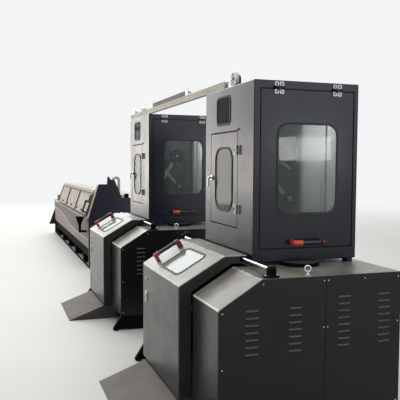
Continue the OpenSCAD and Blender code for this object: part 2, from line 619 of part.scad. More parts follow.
// Limits along the line of lid number i, the places of its hinges, and its window
function draw_lid_x(i) = [dl2 - (i + 1) * draw_pitch + 5, dl2 - i * draw_pitch - 5];
function draw_hinge_x(i) = let (r = draw_lid_x(i)) [r[0] + 220, (r[0] + r[1]) / 2, r[1] - 220];
function draw_window_b(i) = let (r = draw_lid_x(i)) [r[0] + 70, r[1] - pull_space, 82, draw_lid_h - 56];

// Places a shape drawn on a draw lid's steep front: x along the line, y up the front, z out of it
module on_draw_lid() translate([0, draw_lid_foot[0], draw_lid_foot[1]])
    rotate([draw_lid_a, 0, 0]) children();

// Lid of one draw section, hung along the back of the ridge
module draw_lid(i) color(grey) {
    r = draw_lid_x(i);
    w = draw_window_b(i);
    t = 5;
    difference() {
        union() {
            along(r[0], r[1]) polygon([draw_lid_foot, draw_lid_fold, [draw_hinge[0] - 12, draw_lid_fold[1]],
                [draw_hinge[0] - 12, draw_lid_fold[1] - t],
                [draw_lid_fold[0] + 0.7 * t, draw_lid_fold[1] - t],
                [draw_lid_foot[0] + t / sin(draw_lid_a), draw_lid_foot[1]]]);
            for (x = draw_hinge_x(i)) {
                translate([x - 19, draw_hinge[0] - 20, draw_lid_fold[1] - t]) cube([38, 20, t]);
                rod_x(x - 19, x + 19, draw_hinge[0], draw_hinge[1], 18);
            }
        }
        on_draw_lid() translate([0, 0, -20]) linear_extrude(40)
            polygon(rr(w[0] + 8, w[1] - 8, w[2] + 8, w[3] - 8, 40));
        for (x = draw_hinge_x(i)) rod_x(x - 40, x + 40, draw_hinge[0], draw_hinge[1], 10 + 2 * pivot_clear);
    }
    // catches along the lower edge
    for (place = catch_places) on_draw_lid() translate([r[1] - place, 42, -1]) {
        linear_extrude(9) polygon(rr(-42, 42, -15, 15, 8, 3));
        linear_extrude(20) polygon(rr(-14, 34, -9, 9, 6, 3));
    }
    // the near lid alone has a pull and the foot of its stay
    if (i == 0) on_draw_lid() {
        translate([r[1] - 260, 148, 0]) pull(190, 60, 20);
        translate([r[1] - 160, 250, -1]) linear_extrude(24) polygon(rr(-10, 10, 0, 96, 8, 3));
    }
}

module draw_window(i) on_draw_lid() pane(draw_window_b(i), 48, 5, 4);

// Drain funnel in front of the rim, with its pipe turned back into the tub
module draw_funnel() color(panel) translate([dx2 - 330, draw_y - 89, 0]) {
    n = draw_rim - 130;
    difference() {
        union() {
            translate([0, 0, n]) cylinder(d1 = 44, d2 = 130, h = 126);
            translate([0, 0, n - 120]) cylinder(d = 40, h = 121);
            block([-25, 50, n + 105], [25, 67, n + 121]);
        }
        translate([0, 0, n + 1]) cylinder(d1 = 38, d2 = 125, h = 126);
    }
    rod_y(0, 89 + draw_skin, 0, n - 100, 40);
}

// Pale hose that arches from the junction box down to a fitting on the shoulder
module draw_hose() color("#c8c8c4") {
    y0 = (box_y[0] + box_y[1]) / 2;
    y1 = y0 + 88;
    z1 = shoulder[1] - draw_skin + 34;
    translate([dx2 - 75, 0, 0]) {
        translate([0, y0 + 44, box_top]) rotate([90, 0, 90]) rotate_extrude(angle = 180)
            translate([44, 0]) circle(d = 44);
        rod_z(0, y1, z1 + 55, box_top, 44);
        translate([0, y1 + 55, z1 + 55]) rotate([90, 0, 90]) rotate([0, 0, 180]) rotate_extrude(angle = 90)
            translate([55, 0]) circle(d = 44);
        rod_y(y1 + 55, y1 + 84, 0, z1, 44);
        block([-38, y1 + 83, shoulder[1] - draw_skin], [38, y1 + 145, z1 + 36]);
    }
}

module unit(k) translate([-mid_x - (k - 1) * unit_pitch, -mid_y, 0]) children();

for (k = [1, 2]) {
    p = str("takeup", k, "_");
    unit(k) base();
    unit(k) housing();
    unit(k) end_panels();
    unit(k) lid();
    unit(k) lid_window();
    unit(k) lid_handle();
    unit(k) lid_shaft();
    unit(k) tower();
    unit(k) tower_gear();
    unit(k) tower_window();
    unit(k) end_door();
    unit(k) end_door_window();
    unit(k) end_door_handle();
    unit(k) side_door();
    unit(k) side_door_window();
    unit(k) sheave();
    unit(k) ramp();
}
unit(1) wire_beam();
unit(1) wire_rollers();
unit(1) draw_bed();
unit(1) draw_tub();
unit(1) draw_front();
unit(1) draw_gearbox();
unit(1) draw_end_plate();
unit(1) draw_capstans();
for (k = [1:draw_n]) {
    unit(1) draw_lid(k - 1);
    unit(1) draw_window(k - 1);
}
unit(1) draw_funnel();
unit(1) draw_hose();
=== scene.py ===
# %% [markdown]
# # Wire drawing line
# The line is a drawing machine that pulls wire through dies, and two enclosed take-ups that
# wind it on spools. Nearly all of it is folded, powder-coated sheet steel, so the lesson is
# about sheet metal: flat outlines that are extruded, opened, given a wall thickness and
# softened at their folds. The CAD model is loaded first as a frame that stays as it is.

# %% Load the frame
import math
import bpy
import bmesh
from mathutils import Matrix, Vector


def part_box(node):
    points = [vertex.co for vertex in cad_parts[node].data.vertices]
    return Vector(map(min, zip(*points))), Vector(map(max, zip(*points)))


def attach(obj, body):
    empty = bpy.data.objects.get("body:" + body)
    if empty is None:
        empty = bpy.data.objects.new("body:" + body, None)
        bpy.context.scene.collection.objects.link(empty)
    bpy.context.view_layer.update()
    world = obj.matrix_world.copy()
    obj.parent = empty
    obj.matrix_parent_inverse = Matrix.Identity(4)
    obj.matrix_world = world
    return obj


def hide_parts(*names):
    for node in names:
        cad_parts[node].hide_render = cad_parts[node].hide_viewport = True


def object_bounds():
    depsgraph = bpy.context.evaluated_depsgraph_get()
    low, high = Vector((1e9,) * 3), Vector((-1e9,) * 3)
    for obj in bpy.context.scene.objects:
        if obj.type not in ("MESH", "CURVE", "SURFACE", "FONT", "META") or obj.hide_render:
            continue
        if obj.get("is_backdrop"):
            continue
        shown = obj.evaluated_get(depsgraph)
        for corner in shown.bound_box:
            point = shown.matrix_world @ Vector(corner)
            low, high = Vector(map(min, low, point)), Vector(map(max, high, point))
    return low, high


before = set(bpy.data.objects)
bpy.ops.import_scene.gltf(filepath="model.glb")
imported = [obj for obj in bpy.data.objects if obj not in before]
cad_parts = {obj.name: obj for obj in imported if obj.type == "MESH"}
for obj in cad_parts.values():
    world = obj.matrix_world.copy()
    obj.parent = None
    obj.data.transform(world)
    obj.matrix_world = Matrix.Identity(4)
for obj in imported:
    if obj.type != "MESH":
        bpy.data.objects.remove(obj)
cad_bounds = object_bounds()

# %% [markdown]
# ## Where things are
# Sizes below are millimetres from one corner of the near take-up: its near end face, its
# operator side and the floor. The frame says where that corner is, so a piece lands where
# the CAD part has it. The second take-up is the same machine one pitch further along.

# %% The take-up's corner and the folds that several pieces share
louvre_out = 0.007
near_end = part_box("takeup1_end_panels")
corner = Vector((near_end[1].x - louvre_out, near_end[0].y, 0.0))
pitch = near_end[1].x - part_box("takeup2_end_panels")[1].x
skirt, deck, back = 137, 940, 1150
low_fold, high_fold = (0, 784), (254, deck)
lid_front, lid_fold = (-85, 838), (205, 1007)
draw_foot, draw_fold = (208, 776), (345, 1179)
shaft_line = (325, 985)


def at(x, y, z):
    """A place in metres from millimetres off the take-up's corner."""
    return corner + Vector((x, y, z)) / 1000


print("corner", tuple(round(c, 4) for c in corner), "pitch", round(pitch, 4))

# %% [markdown]
# ## Helpers for modelling
# Each helper does by code what a modeller does by hand: add a primitive, go into edit mode,
# select by place, use an operator, come back out. The outline of a sheet part is drawn in a
# plane of its own, so there is one small function per plane that turns (u, v, w) into x, y, z.

# %% Planes to draw in
def end_plane(u, v, w):
    """u runs in depth, v is height, w is the place along the line."""
    return (w, u, v)


def side_plane(u, v, w):
    """u runs along the line, v is height, w is the depth."""
    return (u, w, v)


def deck_plane(u, v, w):
    """u runs along the line, v is depth, w is height."""
    return (u, v, w)


def end_out(u, v, w):
    """The end door's face: w is how far out of it."""
    return end_plane(u, v, -400 + w)


def side_out(u, v, w):
    """The tower's operator face: w is how far out of it."""
    return side_plane(u, v, 370 - w)


def tilted(foot, fold):
    """A plane on a slope between two (depth, height): u along the line, v up the slope, w out of it."""
    angle = math.atan2(fold[1] - foot[1], fold[0] - foot[0])
    c, s = math.cos(angle), math.sin(angle)
    return lambda u, v, w: (u, foot[0] + v * c - w * s, foot[1] + v * s + w * c)


slope_plane, draw_plane = tilted(lid_front, lid_fold), tilted(draw_foot, draw_fold)


# %% Selecting and edit mode
def only(*pieces):
    """Deselects everything, then selects these objects and makes the first one active."""
    bpy.ops.object.select_all(action="DESELECT")
    for piece in reversed(pieces):
        piece.select_set(True)
        bpy.context.view_layer.objects.active = piece


def edit(piece, select="DESELECT"):
    """Goes into edit mode with no face selected, or all of them."""
    only(piece)
    bpy.ops.object.mode_set(mode="EDIT")
    bpy.ops.mesh.select_mode(type="FACE")
    bpy.ops.mesh.select_all(action=select)


def leave():
    bpy.ops.object.mode_set(mode="OBJECT")


def pick(piece, test):
    """In edit mode, selects the faces for which test(centre, normal) is true, centre in mm."""
    mesh = bmesh.from_edit_mesh(piece.data)
    count = 0
    for face in mesh.faces:
        centre = (face.calc_center_median() - corner) * 1000
        if test(centre, face.normal):
            face.select_set(True)
            count += 1
    bmesh.update_edit_mesh(piece.data)
    return count


def drop_faces(piece, test):
    """Deletes faces by their place."""
    edit(piece)
    count = pick(piece, test)
    bpy.ops.mesh.delete(type="FACE")
    leave()
    return count


def named(piece, name):
    piece.name = piece.data.name = name
    return piece


# %% Modifiers that are applied at once
def modify(piece, kind, **settings):
    """Adds a modifier and applies it."""
    only(piece)
    modifier = piece.modifiers.new(kind.lower(), kind)
    for name, value in settings.items():
        setattr(modifier, name, value)
    bpy.ops.object.modifier_apply(modifier=modifier.name)
    return piece


def smooth(piece, angle):
    """Shades smooth over edges flatter than an angle."""
    only(piece)
    bpy.ops.object.shade_smooth_by_angle(angle=math.radians(angle))
    return piece


def round_off(piece, width, segments, angle):
    """Bevels the edges sharper than an angle, by a width in mm."""
    return modify(piece, "BEVEL", width=width / 1000, segments=segments, limit_method="ANGLE",
                  angle_limit=math.radians(angle))


def soften(piece, width, segments=2, angle=30):
    """Rounds the sharp edges, and shades the rest smooth up to the same angle."""
    return smooth(round_off(piece, width, segments, angle), angle)


def wall(piece, thickness, even=False):
    """Gives an open shape its sheet's thickness in mm, inwards."""
    return modify(piece, "SOLIDIFY", thickness=thickness / 1000, offset=-1, use_even_offset=even)


def cut(piece, cutter):
    """Takes a cutter's shape out of a piece."""
    modify(piece, "BOOLEAN", object=cutter, operation="DIFFERENCE", solver="EXACT")
    bpy.data.objects.remove(cutter)
    return piece


def outward(piece):
    """Turns all faces outwards after doubles are merged."""
    edit(piece, "SELECT")
    bpy.ops.mesh.remove_doubles(threshold=1e-5)
    bpy.ops.mesh.normals_make_consistent(inside=False)
    leave()
    return piece


def join(name, pieces):
    """Joins loose pieces to one object."""
    only(*pieces)
    if len(pieces) > 1:
        bpy.ops.object.join()
    return named(pieces[0], name)


# %% Flat outlines and what is made of them
def arc(cu, cv, r, a1, a2, steps=8):
    """Points on an arc in a drawing plane, angles in degrees."""
    angles = [math.radians(a1 + (a2 - a1) * i / steps) for i in range(steps + 1)]
    return [(cu + r * math.cos(a), cv + r * math.sin(a)) for a in angles]


def rounded(u1, u2, v1, v2, r, steps=6):
    """Points of a rectangle with rounded corners."""
    corners = ((u2 - r, v2 - r, 0), (u1 + r, v2 - r, 90), (u1 + r, v1 + r, 180), (u2 - r, v1 + r, 270))
    return [point for u, v, turn in corners for point in arc(u, v, r, turn, turn + 90, steps)]


def outline(name, points, plane, w):
    """A filled disc primitive whose rim is moved onto an outline."""
    only()
    bpy.ops.mesh.primitive_circle_add(vertices=len(points), fill_type="NGON")
    piece = named(bpy.context.object, name)
    for vertex, (u, v) in zip(piece.data.vertices, points):
        vertex.co = at(*plane(u, v, w))
    return piece


def push(plane, w1, w2):
    """Extrudes the selected faces from w1 to w2."""
    move = at(*plane(0, 0, w2)) - at(*plane(0, 0, w1))
    bpy.ops.mesh.extrude_region_move(TRANSFORM_OT_translate={"value": move})


def extrude(name, points, plane, w1, w2):
    """A solid with that outline from w1 to w2."""
    piece = outline(name, points, plane, w1)
    edit(piece, "SELECT")
    push(plane, w1, w2)
    leave()
    return outward(piece)


def ring(name, limits, radius, width, plane, w1, w2, round_over):
    """A flat frame: a filled outline is inset by its width, its middle is deleted, the rest extruded."""
    piece = outline(name, rounded(*limits, radius), plane, w1)
    edit(piece, "SELECT")
    bpy.ops.mesh.inset(thickness=width / 1000, depth=0)
    bpy.ops.mesh.delete(type="FACE")
    bpy.ops.mesh.select_all(action="SELECT")
    push(plane, w1, w2)
    leave()
    return soften(outward(piece), round_over, 2, 40)


def turned(name, steps, plane, u, v, sides=40):
    """A turned part: a disc that is extruded and resized step by step. steps are (place, radius)."""
    w, r = steps[0]
    rim = [(u + r * math.cos(math.tau * i / sides), v + r * math.sin(math.tau * i / sides))
           for i in range(sides)]
    piece = outline(name, rim, plane, w)
    edit(piece, "SELECT")
    for w2, r2 in steps[1:]:
        push(plane, w, w2)
        if abs(r2 - r) > 1e-6:
            mesh = bmesh.from_edit_mesh(piece.data)
            middle = at(*plane(u, v, w2))
            for vertex in mesh.verts:
                if vertex.select:
                    vertex.co = middle + (vertex.co - middle) * (r2 / r)
            bmesh.update_edit_mesh(piece.data)
        w, r = w2, r2
    leave()
    return outward(piece)


def block(name, low, high):
    """A cube primitive stretched between two corners."""
    a, b = at(*low), at(*high)
    only()
    bpy.ops.mesh.primitive_cube_add(size=1, location=(a + b) / 2)
    piece = named(bpy.context.object, name)
    piece.scale = b - a
    bpy.ops.object.transform_apply(location=True, rotation=True, scale=True)
    return piece


def tube(name, points, radius, sides=16):
    """A round bar along a smooth line, made from a curve."""
    line = bpy.data.curves.new(name, "CURVE")
    line.dimensions = "3D"
    spline = line.splines.new("POLY")
    spline.points.add(len(points) - 1)
    for point, place in zip(spline.points, points):
        point.co = (*at(*place), 1)
    line.bevel_depth = radius / 1000
    line.bevel_resolution = sides // 4
    line.use_fill_caps = True
    piece = bpy.data.objects.new(name, line)
    bpy.context.scene.collection.objects.link(piece)
    only(piece)
    bpy.ops.object.convert(target="MESH")
    return smooth(outward(bpy.context.object), 50)


def window_cut(piece, limits, radius, plane, w1, w2):
    """Cuts the rounded window that a gasket then covers by 8 mm."""
    u1, u2, v1, v2 = limits
    return cut(piece, extrude("cutter", rounded(u1 + 8, u2 - 8, v1 + 8, v2 - 8, radius - 8), plane, w1, w2))


def screw(name, plane, u, v, w, r=6, h=4):
    """A domed screw head on a face at w."""
    steps = [(w - 1, r), (w + h * 0.45, r), (w + h * 0.8, r * 0.82), (w + h, r * 0.5)]
    return smooth(turned(name, steps, plane, u, v, 16), 50)


# %% Copies
def free_copy(source, name, move):
    """A copy with its own mesh, off the frame, and the move put into the mesh."""
    twin = source.copy()
    twin.data = source.data.copy()
    twin.parent = None
    twin.matrix_world = Matrix.Identity(4)
    for key in list(twin.keys()):
        del twin[key]
    named(twin, name).data.transform(move)
    bpy.context.scene.collection.objects.link(twin)
    return twin


def repeat(name, piece, offsets):
    """The same piece at several offsets in mm, joined to one object."""
    twins = [free_copy(piece, name, Matrix.Translation(Vector(offset) / 1000)) for offset in offsets]
    bpy.data.objects.remove(piece)
    return join(name, twins)


def softened(node, name, width):
    """A copy of a CAD node, merged, with its flat faces dissolved and its edges rounded."""
    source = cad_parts[node]
    piece = free_copy(source, name, source.matrix_world)
    piece.data.materials.clear()
    edit(piece, "SELECT")
    bpy.ops.mesh.remove_doubles(threshold=1e-5)
    bpy.ops.mesh.dissolve_limited(angle_limit=math.radians(1))
    leave()
    return soften(piece, width)


print("helpers ready")

# %% [markdown]
# ## Finishes
# Powder coat is a baked plastic paint on sheet steel: even, semi-glossy, a little wavy because
# thin sheet is never flat, and paler where it faces up, partly dusty and partly painted light from above.
# Its folds carry pale lines that are partly wear and partly a painted highlight. Colours are written as
# sRGB hex and one function turns them to linear. Another adds a node with its settings and links, so each
# material reads from top to bottom as a recipe.

# %% Colour and node helpers
def srgb(hex_colour):
    """Linear RGBA from an sRGB hex string."""
    parts = [int(hex_colour[i:i + 2], 16) / 255 for i in (1, 3, 5)]
    return (*[c / 12.92 if c <= 0.04045 else ((c + 0.055) / 1.055) ** 2.4 for c in parts], 1.0)


def feed(tree, node, inputs):
    """Gives a node's sockets a value each, or a link from another socket."""
    for name, value in inputs.items():
        if isinstance(value, bpy.types.NodeSocket):
            tree.links.new(value, node.inputs[name])
        else:
            node.inputs[name].default_value = value


def add(tree, kind, inputs, out=0, **settings):
    """Adds a shader node with its settings and inputs, and gives back one of its outputs."""
    node = tree.nodes.new("ShaderNode" + kind)
    for name, value in settings.items():
        setattr(node, name, value)
    feed(tree, node, inputs)
    return node.outputs[out]


def new_material(name):
    """An empty material with its principled shader, its node tree and Object coordinates."""
    material = bpy.data.materials.new(name)
    material.use_nodes = True
    tree = material.node_tree
    return material, tree, tree.nodes["Principled BSDF"], add(tree, "TexCoord", {}, "Object")


def per_metre(mm):
    """A noise scale whose features are about this many millimetres across."""
    return 1000 / mm


# %% Powder coat
def powder_coat(name, colour, roughness=0.26, dust=0.3, ior=1.42, folds=(), ends=(), pale_mark="#d6d4ce",
                wave=0.15):
    """Baked powder paint. dust lightens what faces up, partly as dust and partly as painted light from above.
    folds are (depth, height, share painted whole) of lines whose paint is thinned by wear and which carry a
    painted highlight, and ends are places along the line where a sheet stops and its upper edge is painted pale,
    as wear and as a painted highlight."""
    material, tree, shader, place = new_material(name)
    base = srgb(colour)
    deep = (*[c * 0.8 for c in base[:3]], 1)
    pale = (*[min(1, c * 1.2 + 0.004) for c in base[:3]], 1)
    clouds = add(tree, "TexNoise", {"Vector": place, "Scale": per_metre(420), "Detail": 3.0})
    tone = add(tree, "Mix", {0: clouds, 6: deep, 7: pale}, 2, data_type="RGBA")
    # dust lies on what faces up, in patches of about 150 mm; the same mask also paints the tops paler as light
    # from above would, so it is part dust and part painted light
    up = add(tree, "SeparateXYZ", {0: add(tree, "NewGeometry", {}, "Normal")}, "Z")
    patches = add(tree, "TexNoise", {"Vector": place, "Scale": per_metre(150), "Detail": 5.0,
                                     "Roughness": 0.6})
    facing = add(tree, "MapRange", {"Value": up, "From Min": 0.35, "From Max": 0.95, "To Max": dust})
    dust_and_top_light = add(tree, "Math", {0: facing, 1: patches}, operation="MULTIPLY")
    tone = add(tree, "Mix", {0: dust_and_top_light, 6: tone, 7: srgb("#b5aea2")}, 2, data_type="RGBA")
    # wiped and touched places shine a little more or less, two hands' breadth across
    smear = add(tree, "TexNoise", {"Vector": place, "Scale": per_metre(170), "Detail": 3.0,
                                   "Distortion": 0.4})
    gloss = add(tree, "MapRange", {"Value": smear, "From Min": 0.3, "From Max": 0.7,
                                   "To Min": roughness - 0.03, "To Max": roughness + 0.05})
    rough = add(tree, "Math", {0: dust_and_top_light, 1: 0.3, 2: gloss}, operation="MULTIPLY_ADD")
    # hands and tools rub the paint thin along the folds, in a band of about 8 mm to each side, in broken chips;
    # the share of a fold that is painted pale along its whole length is a painted highlight where the rounded
    # fold catches the light
    chips = add(tree, "TexNoise", {"Vector": place, "Scale": per_metre(35), "Detail": 6.0, "Roughness": 0.7})
    broken = add(tree, "MapRange", {"Value": chips, "From Min": 0.42, "From Max": 0.62})
    for depth, height, painted_highlight_share in folds:
        flat = add(tree, "VectorMath", {0: place, 1: (0, 1, 1)}, operation="MULTIPLY")
        line = at(0, depth, height)
        away = add(tree, "VectorMath", {0: flat, 1: (0, line.y, line.z)}, "Value", operation="DISTANCE")
        band = add(tree, "MapRange", {"Value": away, "From Min": 0.004, "From Max": 0.01,
                                      "To Min": 0.95, "To Max": 0.0})
        share = add(tree, "Math", {0: broken, 1: painted_highlight_share}, operation="MAXIMUM")
        wear_and_highlight = add(tree, "Math", {0: band, 1: share}, operation="MULTIPLY")
        tone = add(tree, "Mix", {0: wear_and_highlight, 6: tone, 7: srgb(pale_mark)}, 2, data_type="RGBA")
    # at the ends the sheet's upper edge is painted pale, as wear and as a painted highlight on the rim
    along = add(tree, "SeparateXYZ", {0: place}, "X")
    upper = add(tree, "MapRange", {"Value": up, "From Min": 0.2, "From Max": 0.5, "To Max": 0.6})
    for end in ends:
        close = add(tree, "Math", {0: along, 1: at(end, 0, 0).x, 2: 0.006}, operation="COMPARE")
        wear_and_highlight = add(tree, "Math", {0: close, 1: upper}, operation="MULTIPLY")
        tone = add(tree, "Mix", {0: wear_and_highlight, 6: tone, 7: srgb(pale_mark)}, 2, data_type="RGBA")
    # thin sheet bulges by parts of a millimetre over a foot or so
    bulge = add(tree, "TexNoise", {"Vector": place, "Scale": per_metre(340), "Detail": 1.0})
    bent = add(tree, "Bump", {"Height": bulge, "Strength": 1.0, "Distance": wave / 1000})
    # orange peel is 1 to 2 mm across, drawn at 6 mm so that it shows in close views
    peel = add(tree, "TexNoise", {"Vector": place, "Scale": per_metre(6), "Detail": 2.0})
    skin = add(tree, "Bump", {"Height": peel, "Strength": 0.05, "Distance": 0.0001, "Normal": bent})
    feed(tree, shader, {"Base Color": tone, "Roughness": rough, "Normal": skin, "IOR": ior})
    return material


# the last number of a fold is the share of it painted pale along its whole length, a painted highlight where the
# fold catches the light: all of the housing's low fold and part of the lid's front fold
deck_folds = ((*low_fold, 1.0), (*high_fold, 0.1))
lid_folds = ((*lid_front, 0.4), (*lid_fold, 0))
draw_folds = ((*draw_foot, 0), (*draw_fold, 0))
lid_end_wear_and_highlights = [-445 - k * 1000 * pitch for k in (0, 1)]
# the housing's and the lid's high dust also paints their decks and tops pale, part dust and part painted light
# from above
housing_paint = powder_coat("powder coat, warm grey", "#2b2a28", dust=0.75, folds=deck_folds)
lid_paint = powder_coat("powder coat, lid grey", "#262523", 0.26, 0.8, 1.38, lid_folds, lid_end_wear_and_highlights)
tower_paint = powder_coat("powder coat, blue black", "#131622", 0.24, 0.3, 1.38)
panel_paint = powder_coat("powder coat, black", "#111213", 0.26, 0.3, 1.36, deck_folds, pale_mark="#6d6b66")
# the louvres' dust also paints the tops of the hoods pale, a painted highlight
louvre_paint = powder_coat("powder coat, black, dusty", "#17181a", dust=0.65)
ramp_paint = powder_coat("powder coat, scuffed ramp", "#4a4645", 0.6, 0.4, 1.25)
beam_paint = powder_coat("powder coat, cream", "#a59e8e", 0.45, 0.2, 1.3)
draw_paint = powder_coat("powder coat, stone", "#9b8e80", 0.48, 0.3, 1.3, draw_folds)
tub_paint = powder_coat("powder coat, tub taupe", "#5c504a", 0.5, 0.3, 1.25)
apron_paint = powder_coat("powder coat, apron grey", "#837b79", 0.5, 0.3, 1.25)
plate_paint = powder_coat("powder coat, navy", "#242531", 0.3, 0.3, 1.36)
liner_paint = powder_coat("powder coat, pale green grey", "#c6d0ca", 0.4)
inner_paint = powder_coat("powder coat, mounting plate", "#2b3034", 0.36)
frame_paint = powder_coat("chassis paint, matt black", "#0f0f11", 0.7, 0.3, 1.08, wave=0.2)
print("paints:", len(bpy.data.materials))

# %% [markdown]
# Turned steel is bright and carries fine marks from the tool. Zinc plate is duller and mottled.
# Rubber is nearly black and soft in its shine, with a bloom of dust. The handles' ends are a
# glass-filled nylon, moulded in orange-red that fades. The panes are polycarbonate, finely
# scratched by cleaning.

# %% Metals
def bright_steel(name, colour, roughness, mark_mm):
    """Turned or ground steel, with fine tool marks."""
    material, tree, shader, place = new_material(name)
    marks = add(tree, "TexNoise", {"Vector": place, "Scale": per_metre(mark_mm), "Detail": 4.0})
    gloss = add(tree, "MapRange", {"Value": marks, "To Min": roughness - 0.08, "To Max": roughness + 0.14})
    grime = add(tree, "TexNoise", {"Vector": place, "Scale": per_metre(70), "Detail": 4.0})
    oily = add(tree, "MapRange", {"Value": grime, "From Min": 0.5, "From Max": 0.8})
    tint = add(tree, "Mix", {0: oily, 6: srgb(colour), 7: srgb("#8d8a83")}, 2, data_type="RGBA")
    relief = add(tree, "Bump", {"Height": marks, "Strength": 0.12, "Distance": 0.0003})
    feed(tree, shader, {"Base Color": tint, "Roughness": gloss, "Normal": relief, "Metallic": 1.0})
    return material


chrome = bright_steel("turned steel, bright", "#d3d5d8", 0.16, 6)
zinc = bright_steel("zinc plate", "#a9aaa6", 0.34, 18)
capstan_steel = bright_steel("hard-faced capstan steel", "#c4bfb6", 0.22, 9)


# %% Rubber, nylon and enamel
def moulded(name, colour, roughness, bloom, grain_mm=3.0, coat=0.0):
    """A moulded skin with a fine grain and a bloom of dust."""
    material, tree, shader, place = new_material(name)
    grain = add(tree, "TexNoise", {"Vector": place, "Scale": per_metre(grain_mm), "Detail": 3.0})
    patches = add(tree, "TexNoise", {"Vector": place, "Scale": per_metre(45), "Detail": 5.0})
    pale_mark = add(tree, "MapRange", {"Value": patches, "From Min": 0.45, "From Max": 0.75, "To Max": bloom})
    base = srgb(colour)
    chalk = (*[c * 0.7 + 0.09 for c in base[:3]], 1)
    tint = add(tree, "Mix", {0: pale_mark, 6: base, 7: chalk}, 2, data_type="RGBA")
    gloss = add(tree, "MapRange", {"Value": grain, "To Min": roughness - 0.07, "To Max": roughness + 0.1})
    relief = add(tree, "Bump", {"Height": grain, "Strength": 0.2, "Distance": 0.0003})
    feed(tree, shader, {"Base Color": tint, "Roughness": gloss, "Normal": relief, "IOR": 1.52,
                        "Coat Weight": coat})
    return material


rubber = moulded("EPDM rubber, black", "#121212", 0.6, 0.25)
rubber_grey = moulded("EPDM rubber, grey", "#7d766e", 0.5, 0.25)
grip_black = moulded("nylon grip, black", "#0f0f10", 0.4, 0.1)
grip_orange = moulded("nylon end, orange red", "#d8492c", 0.34, 0.2)
grip_red = moulded("nylon end, dark red", "#5d1f1f", 0.4, 0.2)
grip_rust = moulded("nylon end, faded red", "#9c3427", 0.4, 0.5)
white_enamel_and_rod_highlight = moulded("enamel, white", "#dedbd2", 0.28, 0.3, 12, 0.3)
hose_skin = moulded("PVC hose, pale grey", "#b9b8b2", 0.42, 0.3)


# %% Clear pane
def clear_pane(name, tint, film, rough, body, ior=1.45, milky=0.0):
    """Polycarbonate, finely scratched. film is what dulls it, milky is how much light it scatters through,
    and body is how solid it looks: a low one lets the rest of the light straight through a thin sheet."""
    material, tree, shader, place = new_material(name)
    wipe = add(tree, "Mapping", {"Vector": place, "Scale": (1, 1, 0.25)})
    haze = add(tree, "TexNoise", {"Vector": wipe, "Scale": per_metre(120), "Detail": 5.0})
    gloss = add(tree, "MapRange", {"Value": haze, "From Min": 0.4, "From Max": 0.8,
                                   "To Min": rough, "To Max": rough + 0.09})
    shade = add(tree, "Mix", {0: haze, 6: srgb(tint), 7: srgb(film)}, 2, data_type="RGBA")
    feed(tree, shader, {"Base Color": shade, "Roughness": gloss, "IOR": ior, "Alpha": body,
                        "Transmission Weight": milky})
    return material


pane_lid = clear_pane("polycarbonate, scratched", "#8b948a", "#aab2a7", 0.06, 0.6)
# the doors' panes are thin, so light falls into the cabinets; the upper pane is tinted near black with almost no
# shine, a painted shade for the dark cabinet behind it
pane_thin = clear_pane("polycarbonate, thin sheet", "#39423f", "#66706b", 0.02, 0.32)
pane_upper_painted_dark = clear_pane("polycarbonate, thin sheet, upper", "#141918", "#2b312f", 0.03, 0.85, 1.04)
# these panes are an opaque pale beige like the lids, a painted reflection of the bright hall, with a little light
# passed through
pane_painted_pale = clear_pane("polycarbonate, clouded by lubricant", "#b3a697", "#9c9184", 0.45, 1.0, 1.3, 0.15)
print("materials:", len(bpy.data.materials))

# %% [markdown]
# ## Putting a piece on the frame
# Each finished piece gets its material and the body it rides on, and where it stands for a CAD
# node, that node is hidden. Take-up pieces are also noted in a list, because the second take-up is
# made from copies of them.

# %% Placing pieces
takeup_pieces = []


def place_piece(piece, material, body, slot, *nodes):
    # large flat faces keep their own normal, so only the rounded folds shade softly
    modify(piece, "WEIGHTED_NORMAL", mode="FACE_AREA", weight=50, keep_sharp=True)
    piece.data.materials.clear()
    piece.data.materials.append(material)
    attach(piece, body)
    if nodes:
        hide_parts(*nodes)


def place_on(unit, piece, material, body, slot, *nodes):
    """Places a piece whose body and nodes are named after one of the two take-ups."""
    own = body if body == "line" else unit + body
    place_piece(piece, material, own, slot, *[unit + node for node in nodes])


def takeup(piece, *details):
    """Names and places a piece on the near take-up and notes it for the far one."""
    named(piece, "takeup1_" + piece.name)
    takeup_pieces.append((piece, details))
    place_on("takeup1_", piece, *details)


# %% [markdown]
# ## Housing
# The housing is a folded sheet box with a chamfer along the operator's side and an open spool
# chamber behind the lid. It is drawn as its end profile and extruded along the line. The folds
# are rounded first, while the shape is simple, and then the chamber is cut out with a boolean.

# %% Housing shell and spool chamber
housing_outline = [(0, skirt), low_fold, high_fold, (back, deck), (back, skirt)]
housing = soften(extrude("housing_shell", housing_outline, end_plane, -1700, -6), 6, 3)
chamber_outline = [(-20, 142), (-20, 960), (362, 960), (362, 935), (760, 935), (760, 142)]
cut(housing, extrude("cutter", chamber_outline, end_plane, -1360, -435))
cut(housing, block("cutter", (-1000, 480, 930), (-700, 560, 950)))
takeup(housing, housing_paint, "line", "grey_sheet", "housing")

pintle = [(-1, 105), (28, 105), (28, 45), (80, 45), (120, 25), (120, 8), (112, 5)]
for name, start, way in (("near", -435, -1), ("far", -1360, 1)):
    steps = [(start + way * w, r) for w, r in pintle]
    piece = soften(turned("pintle_" + name, steps, end_plane, 330, 470, 48), 2)
    takeup(piece, chrome, "line", "bright_steel")

washer = turned("washer", [(939, 17), (948, 17), (949, 15), (949, 7), (962, 7)], deck_plane, -53, 558, 32)
only()
bpy.ops.mesh.primitive_torus_add(location=at(-53, 558, 976), rotation=(math.pi / 2, 0, math.radians(62)),
                                 major_radius=0.017, minor_radius=0.0045,
                                 major_segments=40, minor_segments=14)
eye = bpy.context.object
bpy.ops.object.transform_apply(location=True, rotation=True, scale=True)
takeup(soften(join("eye_bolt", [washer, eye]), 0.6, 2, 50), chrome, "line", "bright_steel")
print("housing faces", len(housing.data.polygons))

